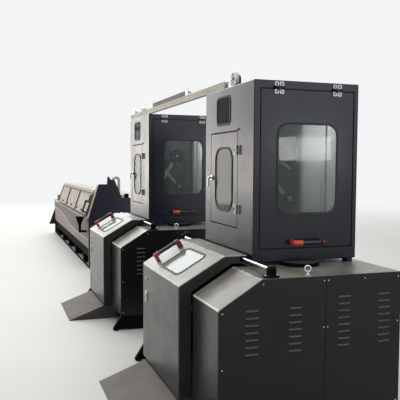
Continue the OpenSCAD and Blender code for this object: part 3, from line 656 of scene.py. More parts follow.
# %% [markdown]
# ## Louvred end panels
# A louvre is pressed: the punch slits the sheet along the lower edge and pushes a hood out of
# it. One hood starts as a cube. Its outer face is made smaller and lower, its edges are
# rounded, the back and underside are deleted and the rest gets the sheet's thickness. The
# panels are flat plates with a slot behind every hood.

# %% One pressed louvre
louvre = block("louvre", (-0.4, -42, 0), (7, 42, 18))
edit(louvre)
pick(louvre, lambda c, n: n.x > 0.9)
bpy.ops.transform.resize(value=(1, 0.88, 0.5), center_override=at(7, 0, 4.7))
bpy.ops.mesh.select_all(action="DESELECT")
leave()
round_off(louvre, 3, 4, 20)
drop_faces(louvre, lambda c, n: c.x < -0.2 or (n.z < -0.8 and abs(c.y) < 30))
smooth(wall(louvre, 1.2), 40)
louvre_places = [(0, y, low_fold[1] - 25 - 40 * i) for y in (193, 455) for i in range(7)]
louvre_places += [(0, y, deck - 136 - 40 * i) for y in (765, 1032) for i in range(8)]
takeup(repeat("louvres", louvre, louvre_places), louvre_paint, "line", "black_sheet")

# %% Panels with their slots and bolts
left = extrude("left", [(0, skirt), low_fold, high_fold, (646, deck), (646, skirt)], end_plane, -6, 0)
right = extrude("right", [(648, skirt), (648, deck), (back, deck), (back, skirt)], end_plane, -6, 0)
panels = soften(join("end_plates", [left, right]), 1.4, 3)
cut(panels, repeat("cutter", block("cutter", (-9, -35, -2), (3, 35, 4)), louvre_places))
takeup(panels, panel_paint, "line", "black_sheet", "end_panels")

low, middle, high = skirt + 33, 648, deck - 27
bolt_places = [(635, low), (661, low), (635, middle), (661, middle), (635, high), (661, high),
               (259, high), (900, high), (1128, high), (22, low_fold[1] - 17), (22, 460), (22, low),
               (330, low), (900, low), (1128, low), (1128, middle)]
bolts = repeat("panel_bolts", screw("bolt", end_plane, 0, 0, 0, 5, 3.5), [(0, y, z) for y, z in bolt_places])
takeup(bolts, zinc, "line", "bright_steel")
print("louvres:", len(louvre_places), "bolts:", len(bolt_places))

# %% [markdown]
# ## Lid
# The lid is a hood: a front, a slope, a flat top and two end plates, open behind and below. It
# is extruded as a closed shape, the faces that aren't there are deleted, the folds are rounded
# and a Solidify modifier gives the 4 mm sheet. The window is cut through the slope last.

# %% Lid hood
lid_outline = [(-85, 155), lid_front, lid_fold, (355, 1007), (355, 965), (310, 958), (252, 958), (-8, 798),
               (-8, 155)]
lid = extrude("lid_hood", lid_outline, end_plane, -1350, -445)


def missing(centre, normal):
    """Sides of the lid's outline that are open on the real hood."""
    front = centre.y < -84
    slope = normal.z > 0.5
    lip = centre.y > 354
    return abs(normal.x) < 0.5 and not (front or slope or lip)


print("open sides:", drop_faces(lid, missing))
wall(round_off(lid, 7, 4, 20), 4, True)
lid_window = (-1040, -640, 52, 293.65)
window_cut(lid, lid_window, 50, slope_plane, -20, 20)
hem = block("hem", (-1345, -84.5, 155), (-450, -60, 159))
sleeves = [soften(turned("sleeve", [(x, 20), (x + 30, 20)], end_plane, *shaft_line, 32), 1)
           for x in (-1350, -475)]
takeup(join("lid_hood", [smooth(lid, 30), hem, *sleeves]), lid_paint, "lid", "grey_sheet", "lid")

lock_steps = [(-84, 13), (-89, 13), (-91, 11), (-91, 7), (-90, 6)]
latch = [soften(extrude("latch", rounded(-1278, -1214, 575, 655, 12), side_plane, -84, -90), 1.2),
         soften(extrude("latch", rounded(-1266, -1226, 588, 642, 6), side_plane, -89, -94), 1.5),
         soften(turned("lock", lock_steps, side_plane, -1246, 742, 32), 0.5)]
takeup(join("lid_latch", latch), zinc, "lid", "bright_steel")


# %% [markdown]
# ## Windows
# Each pane is held by a rubber section that grips the cut edge of the sheet. The gasket is a
# rounded outline, inset by its width and extruded, and the pane is a thinner plate inside it.

# %% Gaskets and panes
def window(name, limits, radius, plane, sheet, lip):
    """A gasket and a pane on a sheet whose outer face is at 0 of the plane's third axis."""
    gasket = ring(name + "_gasket", limits, radius, 14, plane, -(sheet + 2), lip, 1.8)
    u1, u2, v1, v2 = limits
    inner = rounded(u1 + 9, u2 - 9, v1 + 9, v2 - 9, radius - 9)
    pane = extrude(name + "_pane", inner, plane, -(sheet / 2 + 2), -(sheet / 2 - 2))
    return gasket, pane


end_window = (523, 952, 1253, 1824)
side_window = (-1063, -738, 1245, 1682)
upper_window = (-1039, -780, 1826, 2026)
for node, limits, radius, plane, sheet, lip, glass, body in (
        ("lid_window", lid_window, 50, slope_plane, 4, 4, pane_lid, "lid"),
        ("end_door_window", end_window, 80, end_out, 4, 5, pane_thin, "end_door"),
        ("side_door_window", side_window, 100, side_out, 4, 5, pane_thin, "side_door"),
        ("tower_window", upper_window, 42, side_out, 5, 4, pane_upper_painted_dark, "line")):
    gasket, pane = window(node, limits, radius, plane, sheet, lip)
    takeup(gasket, rubber, body, "window_glass", node)
    takeup(pane, glass, body, "window_glass")
print("windows done")


# %% [markdown]
# ## Handles
# The pull handles are a black tube between two moulded ends. An end is a foot, a leg and a cap
# round the tube. The lid's near end is a faded red, the end door's is longer and orange-red, and
# the other ends are dark red. Each is drawn across the tube, so one function serves the lid, the
# door and the drawing lid.

# %% Bridge handles
def handle(name, across, start, stop, height, tube_r, ends, far_leg=13):
    """across(p, q, r): p beside the tube, q out of the panel, r along the tube. ends are cap lengths."""
    grip_steps = [(start + 20, tube_r), (stop - 20, tube_r)]
    grip = smooth(turned(name + "_grip", grip_steps, across, 0, height, 28), 40)
    leg_outline = [(-tube_r * 1.25, 0), (tube_r * 1.25, 0), (tube_r, height), (-tube_r, height)]
    feet = []
    for number, (foot, way, cap, half) in enumerate(((start, 1, ends[0], 13), (stop, -1, ends[1], far_leg))):
        leg = soften(extrude("leg", leg_outline, across, foot - 13, foot + 2 * half - 13), 5, 3)
        stub = foot - way * tube_r * 1.1
        cap_steps = [(stub, tube_r * 0.8), (stub + way * 4, tube_r * 1.15),
                     (foot + way * cap, tube_r * 1.28), (foot + way * cap, tube_r)]
        shell = turned("cap", cap_steps, across, 0, height, 28)
        feet.append(soften(join(f"{name}_end_{number + 1}", [leg, shell]), 0.8, 2, 40))
    return grip, feet[0], feet[1]


for body, across, sizes, near_material in (
        ("lid", lambda p, q, r: slope_plane(p - 1160, r, q), (80, 262, 50, 13, (30, 22), 18), grip_rust),
        ("end_door", lambda p, q, r: end_out(r, 1082 + p, q), (634, 828, 48, 14, (48, 10)), grip_orange)):
    grip, near_foot, far_foot = handle(body + "_handle", across, *sizes)
    takeup(grip, grip_black, body, "black_grip", body + "_handle")
    takeup(near_foot, near_material, body, "black_grip")
    takeup(far_foot, grip_red, body, "black_grip")
print("handles done")

# %% [markdown]
# ## Lid shaft
# The lid turns on one long ground shaft. Its bearings are cast blocks: an arch-shaped outline
# extruded along the shaft, on a bolted foot.

# %% Shaft and bearing blocks
shaft = soften(turned("shaft", [(-1678, 10), (-22, 10)], end_plane, *shaft_line, 32), 1)
takeup(shaft, chrome, "line", "bright_steel", "lid_shaft")
arch = [(301, 950), (349, 950)] + arc(*shaft_line, 24, 0, 180, 12)
blocks, heads = [], []
for x in (-1659, -41):
    blocks.append(soften(extrude("arch", arch, end_plane, x - 15, x + 15), 1.5))
    blocks.append(soften(block("foot", (x - 19, 282, deck), (x + 19, 368, 952)), 2, 3))
    heads += [screw("head", deck_plane, x, y, 952, 7, 6) for y in (291, 359)]
blocks.append(soften(turned("cap", [(-30, 15), (-21, 15), (-19, 12)], end_plane, *shaft_line, 32), 1))
takeup(join("bearing_blocks", blocks), frame_paint, "line", "black_frame")
takeup(join("bearing_bolts", heads), zinc, "line", "bright_steel")

# %% [markdown]
# ## Tower
# The tower is a folded cabinet. A block is rounded at its edges, hollowed by a second block,
# and opened for its two doors and the fixed upper window. Each door opening has a jamb with a
# lip that the door closes on, made like a flat frame.

# %% Tower shell
tower = soften(block("tower_shell", (-1270, 370, 965), (-400, 1095, 2075)), 6, 3)
cut(tower, block("cutter", (-1265, 375, 970), (-405, 1090, 2070)))
cut(tower, block("cutter", (-412, 410, 1040), (-390, 1065, 2027)))
cut(tower, block("cutter", (-1155, 360, 1150), (-650, 382, 1782)))
window_cut(tower, upper_window, 42, side_out, -12, 12)
cut(tower, block("cutter", (-880, 400, 2060), (-800, 440, 2085)))
parts = [tower]
# the jambs' outlines lie 3 mm outside the openings
for limits, plane in (((407, 1068, 1037, 2030), end_out), ((-1158, -647, 1147, 1785), side_out)):
    parts += [ring("jamb", limits, 4, 3, plane, -1, -28, 0.5),
              ring("lip", limits, 4, 16, plane, -26.5, -29, 0.5)]
parts += [soften(block("foot", (x, y, deck), (x + 60, y + 40, 966)), 1.5)
          for x in (-1230, -480) for y in (420, 1045)]
# drip strip over the side door, folded from thin sheet
strip = [(371, 1797), (361, 1791), (361, 1784), (363, 1784), (363, 1790), (371, 1794)]
parts.append(soften(extrude("strip", strip, end_plane, -1172, -638), 0.4))
takeup(join("tower_shell", parts), tower_paint, "line", "dark_sheet", "tower")
# a low black disc, 26 mm high and 240 mm across, under the tower's near end
pedestal = soften(turned("pedestal", [(deck, 120), (966, 120)], deck_plane, -395, 690, 64), 3, 3)
takeup(pedestal, frame_paint, "line", "black_frame")


# %% [markdown]
# ## Doors
# A door is a shallow tray: a block without its back, rounded at its edges and given 4 mm of
# wall inwards. It lies flush in the tower's face with a 5 mm gap all round.

# %% Door trays
def tray(body, low, high, is_back, limits, radius, plane):
    """A door with a window, between two corners."""
    door = block(body + "_tray", low, high)
    drop_faces(door, is_back)
    wall(round_off(door, 4, 3, 30), 4)
    window_cut(door, limits, radius, plane, -10, 10)
    takeup(smooth(door, 30), tower_paint, body, "dark_sheet", body)


tray("end_door", (-424, 415, 1045), (-400, 1060, 2022), lambda c, n: n.x < -0.9, end_window, 80, end_out)
tray("side_door", (-1150, 370, 1155), (-655, 394, 1777), lambda c, n: n.y > 0.9, side_window, 100, side_out)


# %% [markdown]
# ## Door hinges and catch
# Each hinge is a pair of leaves, each with two screws that sit in square zinc cups. The end
# door's leaves are painted with the tower and the side door's are zinc. The fixed leaf has the
# two outer knuckles and the moving leaf the middle one.

# %% Hinge leaves
def leaf(plane, centres):
    """A plate on a face at 0 and its bright parts: a square cup and a screw at each centre."""
    us, vs = [u for u, v in centres], [v for u, v in centres]
    limits = (min(us) - 15, max(us) + 15, min(vs) - 14, max(vs) + 14)
    plate = soften(extrude("leaf", rounded(*limits, 5), plane, 0, 4), 1)
    cups = [ring("cup", (u - 14, u + 14, v - 13, v + 13), 6, 6, plane, 0, 7, 1.2) for u, v in centres]
    screws = [screw("screw", plane, u, v, 4, 4, 2) for u, v in centres]
    return plate, cups + screws


def knuckle(place, half, plane, pin):
    return soften(turned("knuckle", [(place - half, 8), (place + half, 8)], plane, *pin, 24), 1)


end_pin, side_pin = (-386, 2033), (-642, 356)
dark_fixed, bright_fixed, dark_end, bright_end, dark_side, bright_side = [], [], [], [], [], []
for y in (533, 936):
    for z, dark, bright in ((2052, dark_fixed, bright_fixed), (2006, dark_end, bright_end)):
        plate, cups = leaf(end_out, [(y - 17, z), (y + 17, z)])
        dark.append(plate)
        bright.extend(cups)
    for middle in (y - 20, y + 20):
        dark_fixed.append(knuckle(middle, 10, side_plane, end_pin))
        dark_fixed.append(block("web", (-396, middle - 9, 2033), (-386, middle + 9, 2041)))
    dark_end.append(knuckle(y, 9, side_plane, end_pin))
    dark_end.append(block("web", (-396, y - 8.5, 2014), (-380, y + 8.5, 2028)))
for z in (1276, 1656):
    for x, bright in ((-628, bright_fixed), (-682, bright_side)):
        plate, cups = leaf(side_out, [(x, z - 17), (x, z + 17)])
        bright.extend([plate, *cups])
    for middle in (z - 20, z + 20):
        bright_fixed.append(knuckle(middle, 10, deck_plane, side_pin))
        dark_fixed.append(block("web", (-642, 356, middle - 9), (-634, 367, middle + 9)))
    bright_side.append(knuckle(z, 9, deck_plane, side_pin))
    dark_side.append(block("web", (-669, 351, z - 8.5), (-642, 361, z + 8.5)))
    dark_side.append(block("web", (-669, 351, z - 8.5), (-660, 367, z + 8.5)))
for name, parts, body in (("end_door_leaves", dark_end, "end_door"),
                          ("side_door_knuckles", dark_side, "side_door"),
                          ("tower_leaves", dark_fixed, "line")):
    takeup(join(name, parts), tower_paint, body, "dark_sheet")
for name, parts, body in (("end_door_cups", bright_end, "end_door"),
                          ("side_door_cups", bright_side, "side_door"),
                          ("tower_cups", bright_fixed, "line")):
    takeup(join(name, parts), zinc, body, "bright_steel")

# %% Catch lever
rose = soften(turned("rose", [(369, 19), (361, 18), (361, 9), (344, 9)], side_plane, -1128, 1470, 32), 1.5, 3)
bend = [(-1128, 346 - 7 * math.sin(a), 1463 + 7 * math.cos(a)) for a in (0, 0.4, 0.8, 1.2, 1.57)]
arm = tube("arm", [(-1128, 350, 1470), *bend, (-1128, 339, 1405)], 7.5)
takeup(join("catch_lever", [rose, arm]), chrome, "side_door", "bright_steel")
print("tower and doors done")

# %% [markdown]
# ## Inside the tower
# Through the panes one sees the cabinet's pale green-grey liner, the dark mounting plate, the dancer
# arm at its stop, guide wheels and the rods of the wire lay. The liner's paleness is part wall and part a
# painted reflection, and the rods are painted white as a painted highlight. They are modelled simply,
# since only parts of them show.

# %% Liner and plate
# the liner is painted pale green-grey; this paleness is partly a painted reflection of the hall seen through the
# panes
liner = [soften(block("liner", (-1262, 1085, 975), (-408, 1089, 2065)), 1),
         soften(block("liner", (-1264, 1032, 975), (-1260, 1086, 2065)), 1)]
takeup(join("liner", liner), liner_paint, "line", "dark_sheet")
gear_plate = soften(block("gear_plate", (-1090, 402, 970), (-1080, 1028, 2070)), 1.5)
takeup(gear_plate, inner_paint, "line", "bright_steel", "tower_gear")


# %% Dancer arm
def bar(name, low, high, half1, half2, w1, w2):
    """A tapered flat bar between two points of the end plane."""
    way = (high - low).normalized()
    side = Vector((-way.y, way.x))
    points = [tuple(low - half1 * side), tuple(high - half2 * side),
              tuple(high + half2 * side), tuple(low + half1 * side)]
    return soften(extrude(name, points, end_plane, w1, w2), 2)


arm_foot = Vector((598, 1358))
arm_end = arm_foot + 350 * Vector((math.cos(math.radians(60)), math.sin(math.radians(60))))
stop_low, stop_high = Vector((868, 1530)), Vector((716, 1650))
reel, reel_arm = Vector((803, 1331)), Vector((690, 1462))
arm_parts = [bar("arm", arm_foot, arm_end, 22, 16, -806, -790),
             bar("stop", stop_low, stop_high, 9, 16, -900, -880),
             bar("arm", reel, reel_arm, 11, 16, -806, -796)]
for steps, centre, sides in (([(-812, 31), (-778, 31)], arm_foot, 40),
                             ([(-780, 23), (-762, 23)], arm_foot, 40),
                             ([(-1085, 35), (-1000, 35), (-1000, 15), (-790, 15)], arm_foot, 40),
                             ([(-1085, 14), (-800, 14)], reel_arm, 28),
                             ([(-1085, 12), (-884, 12)], stop_high, 28)):
    arm_parts.append(soften(turned("post", steps, end_plane, *centre, sides), 2))
takeup(join("dancer_arm", arm_parts), zinc, "line", "bright_steel")


# %% Wheels, rods and axles
def wheel(x, y, z, r):
    """A grooved guide wheel on an axis along the line, drawn as one half and its mirror image."""
    half = [(15, 20), (9, 20), (9, r - 20), (15, r - 18), (15, r), (11, r), (2, r - 14)]
    steps = [(x - w, r1) for w, r1 in half] + [(x + w, r1) for w, r1 in reversed(half)]
    return soften(turned("wheel", steps, end_plane, y, z, 56), 0.8, 2, 35)


high_wheel = (640, 1900)
wheels = [wheel(-760, *arm_end, 80), wheel(-780, *reel, 46), wheel(-800, *high_wheel, 80)]
takeup(join("guide_wheels", wheels), grip_black, "line", "black_grip")
# the lay rods are bright steel; their white enamel here is a painted highlight for the light they reflect
rods = [turned("rod", [(972, 7.5), (2068, 7.5)], deck_plane, -470, 905, 28),
        turned("rod", [(1000, 4), (1450, 4)], deck_plane, -470, 874, 20)]
takeup(soften(join("lay_rods", rods), 0.4), white_enamel_and_rod_highlight, "line", "white_sheave")
axles = [turned("axle", [(-806, 12), (-738, 12), (-736, 9)], end_plane, *arm_end, 24),
         turned("axle", [(-800, 19), (-756, 19), (-752, 12)], end_plane, *reel, 32),
         turned("axle", [(-1085, 12), (-770, 12)], end_plane, *high_wheel, 24)]
axles += [soften(block("shelf", (-1085, 850, z), (-460, 925, z + 16)), 1.5) for z in (1000, 2020)]
takeup(soften(join("axles", axles), 0.4), zinc, "line", "bright_steel")

# %% [markdown]
# ## Sheave on the roof
# The sheave is turned: a disc is extruded and resized through its hub, web, rim and groove.
# Six lightening holes are cut through the web. It turns on a pin in a bolted angle bracket.

# %% Sheave, pin and bracket
sheave_x, sheave_z = -840, 2135
sheave_steps = [(409, 16), (415, 16), (415, 38), (409, 39), (409, 52.5), (412, 52.5), (418.5, 43.5),
                (421.5, 43.5), (428, 52.5), (431, 52.5), (431, 39), (425, 38), (425, 16), (431, 16)]
sheave = soften(turned("sheave_wheel", sheave_steps, side_plane, sheave_x, sheave_z, 64), 0.7, 2, 35)
holes = [turned("hole", [(400, 7.5), (440, 7.5)], side_plane, sheave_x + 27 * math.cos(a),
                sheave_z + 27 * math.sin(a), 20) for a in [math.tau * i / 6 for i in range(6)]]
cut(sheave, join("cutter", holes))
takeup(sheave, white_enamel_and_rod_highlight, "sheave", "white_sheave", "sheave")
hub = turned("sheave_hub", [(430, 13), (408.5, 13), (408.5, 9)], side_plane, sheave_x, sheave_z, 32)
takeup(soften(hub, 0.4), rubber, "sheave", "white_sheave")
ear = [(-880, 2076), (-800, 2076)] + arc(sheave_x, 2125, 40, 0, 180, 14)
bracket = [soften(extrude("ear", ear, side_plane, 444, 452), 1),
           soften(block("toe", (-880, 444, 2074), (-720, 500, 2081)), 1)]
takeup(join("sheave_bracket", bracket), tower_paint, "line", "dark_sheet")
pin = [turned("pin", [(398, 9), (403, 9), (403, 8), (456, 8)], side_plane, sheave_x, sheave_z, 24)]
pin += [screw("bolt", deck_plane, x, 476, 2081, 8, 6) for x in (-780, -740)]
takeup(soften(join("sheave_pin", pin), 0.5), zinc, "line", "bright_steel")

# %% [markdown]
# ## Ramp and base
# The ramp is a bent sheet wedge that a spool is rolled up on. The base frame is taken from the
# CAD node: a merged copy gets rounded edges.

# %% Ramp and base
ramp = extrude("ramp_sheet", [(60, 0), (60, 132), (-80, 132), (-420, 6), (-420, 0)], end_plane, -1305, -500)
drop_faces(ramp, lambda c, n: n.z < -0.9)
smooth(wall(round_off(ramp, 4, 3, 20), 5), 30)
takeup(ramp, ramp_paint, "line", "grey_sheet", "ramp")
takeup(softened("takeup1_base", "base_frame", 1.5), frame_paint, "line", "black_frame", "base")

# %% The second take-up is a copy of the first
for piece, details in takeup_pieces:
    twin = free_copy(piece, piece.name.replace("takeup1", "takeup2"), Matrix.Translation((-pitch, 0, 0)))
    place_on("takeup2_", twin, *details)
print("take-up pieces:", len(takeup_pieces), "on each")

# %% [markdown]
# ## Wire beam
# The wire runs from tower to tower in an open channel. Its section is drawn once and extruded
# over the whole length. Pairs of guide rollers stand on plates behind it.

# %% Channel, guard plate and rollers
channel_outline = [(374, 2075), (402, 2075), (402, 2125), (398, 2125), (398, 2079), (378, 2079), (378, 2125),
                   (374, 2125)]
channel = soften(extrude("beam_channel", channel_outline, end_plane, -3860, -905), 1)
place_piece(channel, beam_paint, "line", "pale_channel", "wire_beam")
guard = soften(block("beam_guard", (-2950, 401, 2085), (-1900, 405, 2175)), 1)
place_piece(guard, tub_paint, "line", "pale_channel")
roller_steps = [(409, 6), (409, 15), (413, 15), (417, 12), (423, 12), (427, 15), (431, 15), (431, 5), (436, 5)]
rollers, plates = [], []
for x in (-1850, -3005, -3800):
    plates.append(soften(extrude("plate", rounded(x - 35, x + 35, 2089, 2195, 10), side_plane, 402, 407), 1))
    for side in (-1, 1):
        centre = (x + side * 18, 2147 + side * 16)
        rollers.append(turned("roller", roller_steps, side_plane, *centre, 28))
        rollers.append(turned("pin", [(406, 5), (410, 5)], side_plane, *centre, 20))
guides = soften(join("wire_guide_rollers", rollers), 0.6)
place_piece(guides, chrome, "line", "bright_steel", "wire_rollers")
place_piece(join("roller_plates", plates), zinc, "line", "bright_steel")
print("beam done")

# %% [markdown]
# ## Drawing machine
# The machine is a long fabricated housing with a raised head at the near end and hinged lids
# over the tub. The bed, the housing and the tub come from merged copies of their CAD nodes. The
# front panel carries a paler apron whose upper edge swings down in an S and ends in a rolled
# lip. Two sills tie the cross feet at the floor.

# %% Bed, tub, housing and capstans
near_plate, far_plate = -6125, -11375
for node, width, material, slot in (("draw_bed", 2.5, frame_paint, "black_frame"),
                                    ("draw_tub", 1.0, tub_paint, "grey_sheet"),
                                    ("draw_gearbox", 3.0, draw_paint, "grey_sheet"),
                                    ("draw_capstans", 1.2, capstan_steel, "bright_steel")):
    place_piece(softened(node, node + "_body", width), material, "line", slot, node)

# %% Front panel, apron and rim
front = soften(block("draw_front_panel", (-11370, 224, 300), (-6130, 232, 766)), 1.2)
place_piece(front, tub_paint, "line", "grey_sheet", "draw_front")


def swing(x):
    """Height of the apron's S-shaped edge: low at the near end, high at the far end."""
    share = min(1, max(0, (-7700 - x) / 2700))
    return 432 + 168 * share * share * (3 - 2 * share)


edge = [(x, swing(x)) for x in range(-11360, -6139, 90)]
apron_outline = [(-6140, 304), *reversed(edge), (-11360, 304)]
apron = soften(extrude("draw_apron_sheet", apron_outline, side_plane, 225, 220), 1.2)
place_piece(apron, apron_paint, "line", "grey_sheet")
# the rolled lip is painted pale cream, a painted highlight along the S-shaped edge
place_piece(tube("draw_apron_lip", [(x, 220, z) for x, z in edge], 9), beam_paint, "line", "grey_sheet")
sills = []
for y in (226, 1224):
    section = [(y, 0), (y, 38), (y + 5, 38), (y + 5, 5), (y + 40, 5), (y + 40, 0)]
    sills.append(soften(extrude("sill", section, end_plane, -11374, -6126), 1))
place_piece(join("draw_sills", sills), frame_paint, "line", "black_frame")
rim_section = [(198, 740), (198, 766), (226, 766), (226, 740)]
rim = soften(extrude("draw_rim_strip", rim_section, end_plane, far_plate, near_plate), 2, 3)
place_piece(rim, draw_paint, "line", "grey_sheet")

# %% [markdown]
# ## End plates
# The near plate is 25 mm steel, flame cut to the machine's section with a raised ear behind the
# head. The far one has a gusset. Both are outlines, extruded and rounded.

# %% Plates, pads and junction box
near_outline = [(216, 14), (216, 774), (369, 1274), (498, 1274), (504, 1385), (536, 1385), (546, 1346),
                (600, 1346), (630, 1298), (721, 1068), (1300, 1068), (1300, 14)]
far_outline = [(220, 14), (220, 200), (90, 200), (220, 560), (220, 776), (1300, 776), (1300, 14)]
plates = [soften(extrude("plate", points, end_plane, w, w + 25), 2.5, 3)
          for points, w in ((near_outline, near_plate), (far_outline, far_plate - 25))]
plates += [soften(turned("pad", [(0, 35), (15, 35)], deck_plane, x, y, 32), 2)
           for x in (near_plate - 10, far_plate + 10) for y in (260, 1220)]
place_piece(join("draw_end_plates", plates), plate_paint, "line", "black_sheet", "draw_end_plate")
box_section = [(580, 1150), (580, 1330), (628, 1330), (628, 1150)]
junction = soften(extrude("draw_junction_box", box_section, end_plane, -6210, -6126), 4, 3)
place_piece(junction, plate_paint, "line", "black_sheet")

# %% [markdown]
# ## Drawing lids
# The three lids are alike. A bent section is extruded, its window is cut, and the catches,
# hinge knuckles and gaskets are added. The near lid alone has a pull and a stay.

# %% Lid sections
lid_section = [draw_foot, draw_fold, (536, 1179), (536, 1174), (348.5, 1174), (213.3, 776)]
for i in range(3):
    name = f"draw_lid_{i + 1}"
    glass_node = f"draw_window_{i + 1}"
    r0, r1 = -6340 - (i + 1) * 1360 + 5, -6340 - i * 1360 - 5
    sheet = soften(extrude(name + "_sheet", lid_section, end_plane, r0, r1), 1.6, 3)
    limits = (r0 + 78, r1 - 330, 106, 346)
    window_cut(sheet, limits, 44, draw_plane, -20, 20)
    place_piece(sheet, draw_paint, name, "grey_sheet", name)
    gasket, pane = window(glass_node, limits, 44, draw_plane, 5, 2)
    place_piece(gasket, rubber_grey, name, "window_glass", glass_node)
    place_piece(pane, pane_painted_pale, name, "window_glass")
    # a black rubber band round each lid, which also paints the dark seams between the lids, a painted shade
    seal_and_seam_shade = ring(name + "_seal", (r0 + 1, r1 - 1, 3, 376), 60, 18, draw_plane, -1, 13, 4)
    place_piece(seal_and_seam_shade, rubber, name, "black_grip")
    knuckles = []
    for x in (r0 + 220, (r0 + r1) / 2, r1 - 220):
        knuckles.append(turned("knuckle", [(x - 19, 9), (x + 19, 9)], end_plane, 548, 1176, 28))
        knuckles.append(block("tongue", (x - 19, 526, 1173), (x + 19, 546, 1179)))
    place_piece(soften(join(name + "_knuckles", knuckles), 0.8), zinc, name, "bright_steel")
    catches = []
    for x in (r1 - 595, r1 - 1230):
        base, lever = rounded(x - 42, x + 42, 52, 84, 8, 4), rounded(x - 14, x + 38, 58, 78, 6, 4)
        catches.append(soften(extrude("base", base, draw_plane, -1, 10), 1.5))
        catches.append(soften(extrude("lever", lever, draw_plane, 9, 26), 2.5, 3))
    if i == 0:
        stay = extrude("stay", rounded(r1 - 122, r1 - 102, 232, 340, 8, 4), draw_plane, -1, 20)
        catches.append(soften(stay, 2))
    place_piece(join(name + "_catches", catches), grip_black, name, "black_grip")

for part in handle("draw_lid_1_pull", lambda p, q, r: draw_plane(p - 6440, r, q), 58, 228, 56, 14, (24, 24)):
    place_piece(part, grip_black, "draw_lid_1", "black_grip")

# %% Funnel and hose
funnel_steps = [(520, 20), (640, 20), (640, 22), (760, 63), (766, 65), (766, 62.5), (646, 21), (644, 10)]
funnel = [soften(turned("cup", funnel_steps, deck_plane, -6430, 131, 48), 0.8),
          soften(turned("drain", [(131, 20), (226, 20)], side_plane, -6430, 540, 32), 1),
          soften(block("arm", (-6455, 181, 745), (-6405, 198, 761)), 1.5)]
place_piece(join("draw_funnel_cup", funnel), frame_paint, "line", "black_sheet", "draw_funnel")
over = [(648 - 44 * math.cos(a), 1330 + 44 * math.sin(a)) for a in [math.pi * i / 14 for i in range(15)]]
under = [(747 - 55 * math.cos(a), 1145 - 55 * math.sin(a)) for a in [math.pi / 2 * i / 10 for i in range(11)]]
hose = tube("draw_hose_bend", [(-6175, y, z) for y, z in (*over, *under, (776, 1090))], 22, 24)
place_piece(hose, hose_skin, "line", "pale_hose", "draw_hose")
fitting = soften(block("draw_hose_fitting", (-6213, 775, 1056), (-6137, 837, 1126)), 4, 3)
place_piece(fitting, frame_paint, "line", "black_frame")
print("drawing machine done")


# %% [markdown]
# ## Floor, light and camera
# A pale floor and backdrop stand for the hall. The light is soft: a world that is white to the
# eye and to reflections, and large lamps. The hall's windows and wall lights lie beyond the far
# end, so wide lamps there give the pale sheen on the faces that the camera sees at a low angle.
# A small lamp under each tower's roof lights the cabinet behind its panes.

# %% Stage
def seen(tree):
    """1 for rays that show a thing to the eye, straight, mirrored or through a pane, and 0 for the rest."""
    rays = add(tree, "LightPath", {}).node.outputs
    shown = add(tree, "Math", {0: rays["Is Camera Ray"], 1: rays["Is Glossy Ray"]}, operation="MAXIMUM")
    return add(tree, "Math", {0: shown, 1: rays["Is Transmission Ray"]}, operation="MAXIMUM")


backdrop = {"Color": srgb("#f4f5f6"), "Strength": 1.0}
floor_material, tree, shader, place = new_material("workshop floor, pale")
noise = add(tree, "TexNoise", {"Vector": place, "Scale": 0.8, "Detail": 3.0})
tone = add(tree, "Mix", {0: noise, 6: srgb("#c9c7c1"), 7: srgb("#d8d6d1")}, 2, data_type="RGBA")
feed(tree, shader, {"Base Color": tone, "Roughness": 0.6})
# far from the line the floor turns into the white backdrop, for the eye and in reflections
far_off = add(tree, "VectorMath", {0: place}, "Value", operation="LENGTH")
fade = add(tree, "MapRange", {"Value": far_off, "From Min": 6.0, "From Max": 20.0},
           interpolation_type="SMOOTHSTEP")
share = add(tree, "Math", {0: fade, 1: seen(tree)}, operation="MULTIPLY")
look = add(tree, "MixShader", {0: share, 1: shader.outputs[0], 2: add(tree, "Emission", backdrop)})
feed(tree, tree.nodes["Material Output"], {"Surface": look})
only()
bpy.ops.mesh.primitive_plane_add(size=120, location=(0, 0, 0))
floor = bpy.context.object
floor.name = "floor"
floor.data.materials.append(floor_material)
floor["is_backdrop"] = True

scene = bpy.context.scene
scene.world = bpy.data.worlds.new("hall")
scene.world.use_nodes = True
tree = scene.world.node_tree
lit = add(tree, "Background", {"Color": srgb("#eef1f5"), "Strength": 0.45})
both = add(tree, "MixShader", {0: seen(tree), 1: lit, 2: add(tree, "Background", backdrop)})
feed(tree, tree.nodes["World Output"], {"Surface": both})


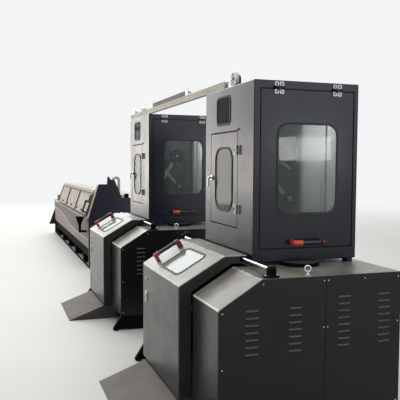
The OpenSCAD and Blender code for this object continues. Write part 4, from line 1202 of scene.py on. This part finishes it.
# %% Lamps
def soft_lamp(name, place, target, width, height, radiance, colour="#ffffff"):
    """A rectangular lamp that looks at a point. Metres, and 1 is as bright as the white backdrop."""
    data = bpy.data.lights.new(name, "AREA")
    data.shape = "RECTANGLE"
    data.size, data.size_y = width, height
    data.energy = radiance * math.pi * width * height
    data.color = srgb(colour)[:3]
    lamp = bpy.data.objects.new(name, data)
    lamp.location = place
    lamp.rotation_euler = (Vector(target) - Vector(place)).to_track_quat("-Z", "Y").to_euler()
    lamp.visible_camera = lamp.visible_transmission = False
    scene.collection.objects.link(lamp)


soft_lamp("hall windows", (-14.2, -8.45, 1.5), (2, -3.2, 1), 10.8, 3.0, 2.9, "#fff7ef")
soft_lamp("far wall, low", (-21, 2, 6), (2, 0, 0.5), 26, 5, 2.2)
soft_lamp("far wall, high", (-20, 1, 13), (2, 0, 0.5), 26, 11, 3.6)
soft_lamp("roof lights", (2, -1, 8), (2, 0, 0), 10, 6, 2.0)
soft_lamp("near fill", (11, -6, 4), (4, 0, 1), 5, 4, 0.7)
soft_lamp("near hall lights", (13.8, 3.4, 3.8), (5.3, 0.3, 1.6), 7, 2.0, 1.7, "#eaf0ff")
soft_lamp("near window", (13.7, 4.84, 1.94), (5.3, 0.27, 1.66), 1.15, 0.5, 16)
for k in (0, 1):
    inside = at(-750, 760, 2055) - Vector((k * pitch, 0, 0))
    soft_lamp(f"cabinet light {k + 1}", inside, inside - Vector((0, 0, 1)), 0.55, 0.45, 13)

# %% Camera, fitted to corners of the two take-ups in the photograph
turn, dip, roll = math.radians(71.14), math.radians(3.66), math.radians(0.31)
ahead = Vector((-math.sin(turn) * math.cos(dip), math.cos(turn) * math.cos(dip), -math.sin(dip)))
level = Vector((math.cos(turn), math.sin(turn), 0))
above = level.cross(ahead)
right_way = math.cos(roll) * level + math.sin(roll) * above
up_way = -math.sin(roll) * level + math.cos(roll) * above
camera = bpy.data.objects.new("camera", bpy.data.cameras.new("camera"))
camera.data.sensor_width = 36
camera.data.lens = 54.36
camera.data.shift_y = 0.0125
axes = Matrix((right_way, up_way, -ahead)).transposed().to_4x4()
camera.matrix_world = Matrix.Translation(at(2952, -1115, 1550)) @ axes
scene.collection.objects.link(camera)
scene.camera = camera
scene.view_settings.view_transform = "Standard"

# %% Sizes and finish
visual_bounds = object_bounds()
sizes = {"cad": [list(map(float, c)) for c in cad_bounds], "visual": [list(map(float, c)) for c in visual_bounds]}
print("bounds", sizes)
